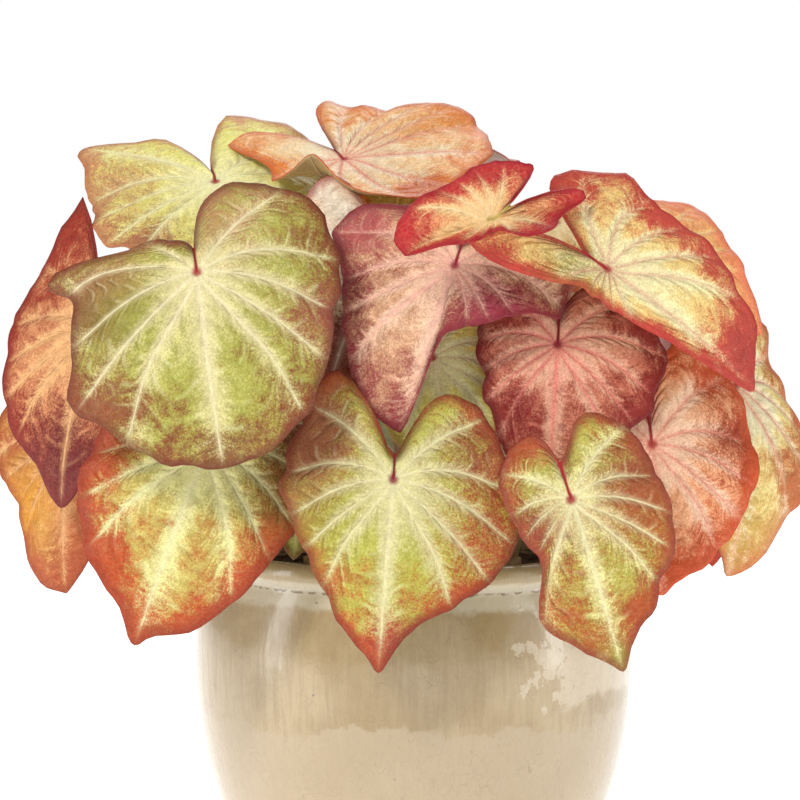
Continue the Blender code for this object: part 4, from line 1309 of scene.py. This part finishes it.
def add_stalk(shape, leaf, root):
    """Closed tube of bridged rings, with its end cut parallel to the blade and just under it."""
    controls, normal = stalk_controls(leaf, root)
    centres = [curve_point(controls, step / STALK_PARTS) for step in range(STALK_PARTS + 1)]
    side = Vector((1, 0, 0))
    loops = []
    for step, centre in enumerate(centres):
        course = (centres[min(step + 1, STALK_PARTS)] - centres[max(step - 1, 0)]).normalized()
        side = (side - course * side.dot(course)).normalized()
        placing = Matrix((side, course.cross(side), course)).transposed().to_4x4()
        placing.translation = centre
        ring = bmesh.ops.create_circle(
            shape,
            cap_ends=step in (0, STALK_PARTS),
            segments=STALK_SIDES,
            radius=STALK_BASE_RADIUS + (STALK_TOP_RADIUS - STALK_BASE_RADIUS) * step / STALK_PARTS,
            matrix=placing,
        )["verts"]
        loops.append(list({edge for vertex in ring for edge in vertex.link_edges}))
    course = (centres[-1] - centres[-2]).normalized()
    for vertex in ring:
        vertex.co += course * ((controls[-1] - vertex.co).dot(normal) / course.dot(normal))
    for lower, upper in zip(loops, loops[1:]):
        bmesh.ops.bridge_loops(shape, edges=lower + upper)


def make_stalks(tuber, material):
    """A tuber, its neck and all of its stalks."""
    name = "leaf_stalks_" + tuber
    shape = turned_shape(tuber_profile(), TUBER_SIDES, TUBERS[tuber])
    lumpy(shape.verts, TUBER_LUMP_SIZE, TUBER_ROUGHNESS, TUBER_NOISE_PLACE)
    leaves = sorted((leaf for leaf in LEAVES if leaf.tuber == tuber), key=heading_of)
    for place, leaf in enumerate(leaves):
        add_stalk(shape, leaf, stalk_root(leaf, place, len(leaves)))
    bmesh.ops.recalc_face_normals(shape, faces=shape.faces)
    smooth_faces(shape)
    mesh = mesh_of(name, shape)
    mesh.materials.append(material)
    return new_piece(name, mesh, "stalks_" + tuber)


def stalk_material():
    """Green-brown at the foot and reddish above, with fine streaks along the stalk."""
    material, tree, shader = new_material("stalk_skin")
    surface = object_place(tree)
    patchy = noise_of(tree, surface, 12 * MM, 3.0)
    climb = add_up(tree, parts_of(tree, surface)["Z"], about_zero(tree, patchy, 0.12))
    colour = blend(tree, ramp(tree, climb, 0.22, 0.36), display(150, 128, 84), display(168, 92, 70))
    streak = noise_of(tree, drawn_upright(tree, surface, 0.08), 1.2 * MM, 3.0, 0.7)
    colour = blend(tree, ramp(tree, streak, 0.5, 0.7, 0.0, 0.7), colour, display(110, 48, 40))
    tree.links.new(colour, shader.inputs["Base Color"])
    tree.links.new(ramp(tree, streak, 0.3, 0.7, 0.35, 0.5), shader.inputs["Roughness"])
    feed_height(tree, shader, multiply(tree, streak, 0.35))
    return material


def soil_material():
    """Dark potting mix with paler fibres."""
    material, tree, shader = new_material("damp_soil")
    surface = object_place(tree)
    coarse = noise_of(tree, surface, 9 * MM, 4.0, 0.7)
    fine = noise_of(tree, surface, 1.4 * MM, 4.0, 0.7)
    colour = blend(tree, ramp(tree, coarse, 0.35, 0.65), display(38, 26, 19), display(74, 52, 36))
    colour = blend(tree, ramp(tree, fine, 0.6, 0.75, 0.0, 0.7), colour, display(120, 92, 62))
    tree.links.new(colour, shader.inputs["Base Color"])
    tree.links.new(ramp(tree, coarse, 0.3, 0.7, 0.75, 0.95), shader.inputs["Roughness"])
    feed_height(tree, shader, add_up(tree, fine, coarse))
    return material


def glazed_body(tree, broad, medium, strokes, height):
    """Tan body with upright strokes, under a paler and even glaze below a wavy edge."""
    body = blend(tree, ramp(tree, broad, 0.35, 0.65), display(166, 143, 104), display(186, 165, 130))
    body = blend(tree, ramp(tree, strokes, 0.42, 0.66, 0.0, 0.4), body, display(150, 127, 92))
    wavy = add_up(tree, height, about_zero(tree, medium, 22.0), about_zero(tree, broad, 30.0))
    return blend(tree, ramp(tree, wavy, *GLAZE_STEP, 0.72, 0.0), body, display(185, 166, 137)), wavy


def pale_patches(tree, body, surface, medium, strokes, wavy):
    """Pale patches where the glaze ran thin, on the right shoulder towards the front."""
    place = parts_of(tree, surface)
    ragged = add_up(tree, multiply(tree, place["X"], 1.0 / MM), about_zero(tree, medium, 150.0),
                    about_zero(tree, strokes, 40.0), ramp(tree, place["Y"], -60 * MM, 0.0, 0.0, -90.0))
    bare = multiply(tree, ramp(tree, ragged, *PATCH_SIDE), ramp(tree, wavy, *PATCH_BAND), 0.6)
    return blend(tree, bare, body, display(214, 200, 176))


def shoulder_bands(tree, body, surface, medium, height):
    """Painted highlight in a pale band under the lip, a broken dark line in it, and painted shade on the lip."""
    # Painted highlight: a pale band on the shoulder, where it turns up towards the light
    pale = add_up(tree, height, about_zero(tree, medium, 12.0))
    body = blend(tree, ramp(tree, pale, *SHOULDER_HIGHLIGHT_BAND, 0.0, 0.85), body, display(208, 198, 174))
    dash = noise_of(tree, surface, 5 * MM, 2.0)
    from_line = calculate(tree, "SUBTRACT", add_up(tree, height, about_zero(tree, dash, 3.0)), DASH_HEIGHT)
    line = ramp(tree, calculate(tree, "ABSOLUTE", from_line), 0.2, 1.0, 0.75, 0.0)
    body = blend(tree, multiply(tree, line, ramp(tree, dash, 0.4, 0.55)), body, display(96, 78, 58))
    # Painted shade: the lip goes a darker tan where the leaves shade it
    rim = add_up(tree, height, about_zero(tree, medium, 2.5))
    return blend(tree, ramp(tree, rim, *LIP_SHADE_BAND, 0.0, 0.9), body, display(164, 142, 100))


def dark_dots(tree, body, surface, fine):
    """Ragged dark dots in about half of the cells of a pattern."""
    cells = add_node(tree, "ShaderNodeTexVoronoi", {"Vector": surface, "Scale": 1.0 / DOT_SPACING}).outputs
    dot = ramp(tree, add_up(tree, cells["Distance"], about_zero(tree, fine, 0.1)), 0.02, 0.09, 1.0, 0.0)
    chosen = add_node(tree, "ShaderNodeSeparateColor", {"Color": cells["Color"]}).outputs["Red"]
    dot = multiply(tree, dot, ramp(tree, chosen, 0.55, 0.6, 0.0, 0.8))
    return blend(tree, dot, body, display(104, 102, 104))


def glaze_material():
    """Cream glaze in upright brushed strokes over a tan body, with crackle, dots, and a painted highlight and
    shade by the lip.
    """
    material, tree, shader = new_material("crackled_glaze")
    surface = object_place(tree)
    height = multiply(tree, parts_of(tree, surface)["Z"], 1.0 / MM)
    broad = noise_of(tree, surface, 60 * MM, 3.0, 0.6)
    medium = noise_of(tree, surface, 16 * MM, 4.0, 0.65)
    strokes = noise_of(tree, drawn_upright(tree, surface, 0.07), 3.0 * MM, 4.0, 0.7)
    fine = noise_of(tree, surface, 1.6 * MM, 3.0, 0.7)
    body, wavy = glazed_body(tree, broad, medium, strokes, height)
    body = pale_patches(tree, body, surface, medium, strokes, wavy)
    body = shoulder_bands(tree, body, surface, medium, height)
    crackle = ramp(tree, cell_edges(tree, surface, CRACKLE_CELL, CRACKLE_WARP, 2.0), 0.0, 0.03, 1.0, 0.0)
    crackle = multiply(tree, crackle, ramp(tree, medium, 0.42, 0.62, 0.04, 0.34))
    body = blend(tree, crackle, body, display(132, 108, 78))
    body = dark_dots(tree, body, surface, fine)
    tree.links.new(body, shader.inputs["Base Color"])
    tree.links.new(ramp(tree, strokes, 0.3, 0.7, 0.14, 0.3), shader.inputs["Roughness"])
    shader.inputs["Coat Weight"].default_value = GLAZE_COAT
    shader.inputs["Coat Roughness"].default_value = GLAZE_COAT_ROUGHNESS
    relief = add_up(tree, multiply(tree, strokes, 0.12), multiply(tree, crackle, -0.12),
                    multiply(tree, medium, 0.5), multiply(tree, fine, 0.04))
    feed_height(tree, shader, relief)
    return material


def make_camera():
    lens = bpy.data.cameras.new("camera")
    lens.lens = CAMERA_LENS
    lens.sensor_width = SENSOR_WIDTH
    camera = bpy.data.objects.new("camera", lens)
    camera.location = CAMERA_PLACE
    camera.rotation_euler = (Vector(CAMERA_AIM) - camera.location).to_track_quat("-Z", "Y").to_euler()
    bpy.context.scene.collection.objects.link(camera)
    bpy.context.scene.camera = camera


def add_lamp(name, place, aim, width, height, power, colour):
    """A soft box facing a point."""
    light = bpy.data.lights.new(name, "AREA")
    light.shape = "RECTANGLE"
    light.size = width
    light.size_y = height
    light.energy = power
    light.color = colour
    lamp = bpy.data.objects.new(name, light)
    lamp.location = place
    lamp.rotation_euler = (Vector(aim) - lamp.location).to_track_quat("-Z", "Y").to_euler()
    bpy.context.scene.collection.objects.link(lamp)


def make_world():
    """White to the camera, and a softer white as light."""
    world = bpy.data.worlds.new("studio")
    world.use_nodes = True
    tree = world.node_tree
    background = tree.nodes["Background"]
    background.inputs["Color"].default_value = WHITE
    seen = add_node(tree, "ShaderNodeLightPath").outputs["Is Camera Ray"]
    tree.links.new(ramp(tree, seen, 0.0, 1.0, WORLD_LIGHT, 1.0), background.inputs["Strength"])
    bpy.context.scene.world = world
    bpy.context.scene.view_settings.view_transform = "Standard"


def make_floor():
    shape = bmesh.new()
    bmesh.ops.create_grid(shape, x_segments=1, y_segments=1, size=FLOOR_SIZE)
    floor = bpy.data.objects.new("floor", mesh_of("floor", shape))
    material, _, shader = new_material("pale_floor")
    shader.inputs["Base Color"].default_value = display(236, 235, 232)
    shader.inputs["Roughness"].default_value = 0.8
    shader.inputs["Emission Color"].default_value = WHITE
    shader.inputs["Emission Strength"].default_value = FLOOR_GLOW
    floor.data.materials.append(material)
    bpy.context.scene.collection.objects.link(floor)


def write_sizes():
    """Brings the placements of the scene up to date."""
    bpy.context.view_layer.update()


def main():
    make_camera()
    make_world()
    for lamp in LAMPS:
        add_lamp(*lamp)
    make_floor()
    veins = vein_group()
    face_group = blade_group(veins, speckle_group())
    back_group = underside_group(veins)
    undersides = {kind: underside_material(kind, back_group) for kind in UNDERSIDES}
    for leaf in LEAVES:
        make_blade(leaf, blade_material(leaf, face_group), undersides[leaf.kind])
    skin = stalk_material()
    for tuber in TUBERS:
        make_stalks(tuber, skin)
    make_soil(soil_material())
    make_pot(glaze_material())
    write_sizes()


main()
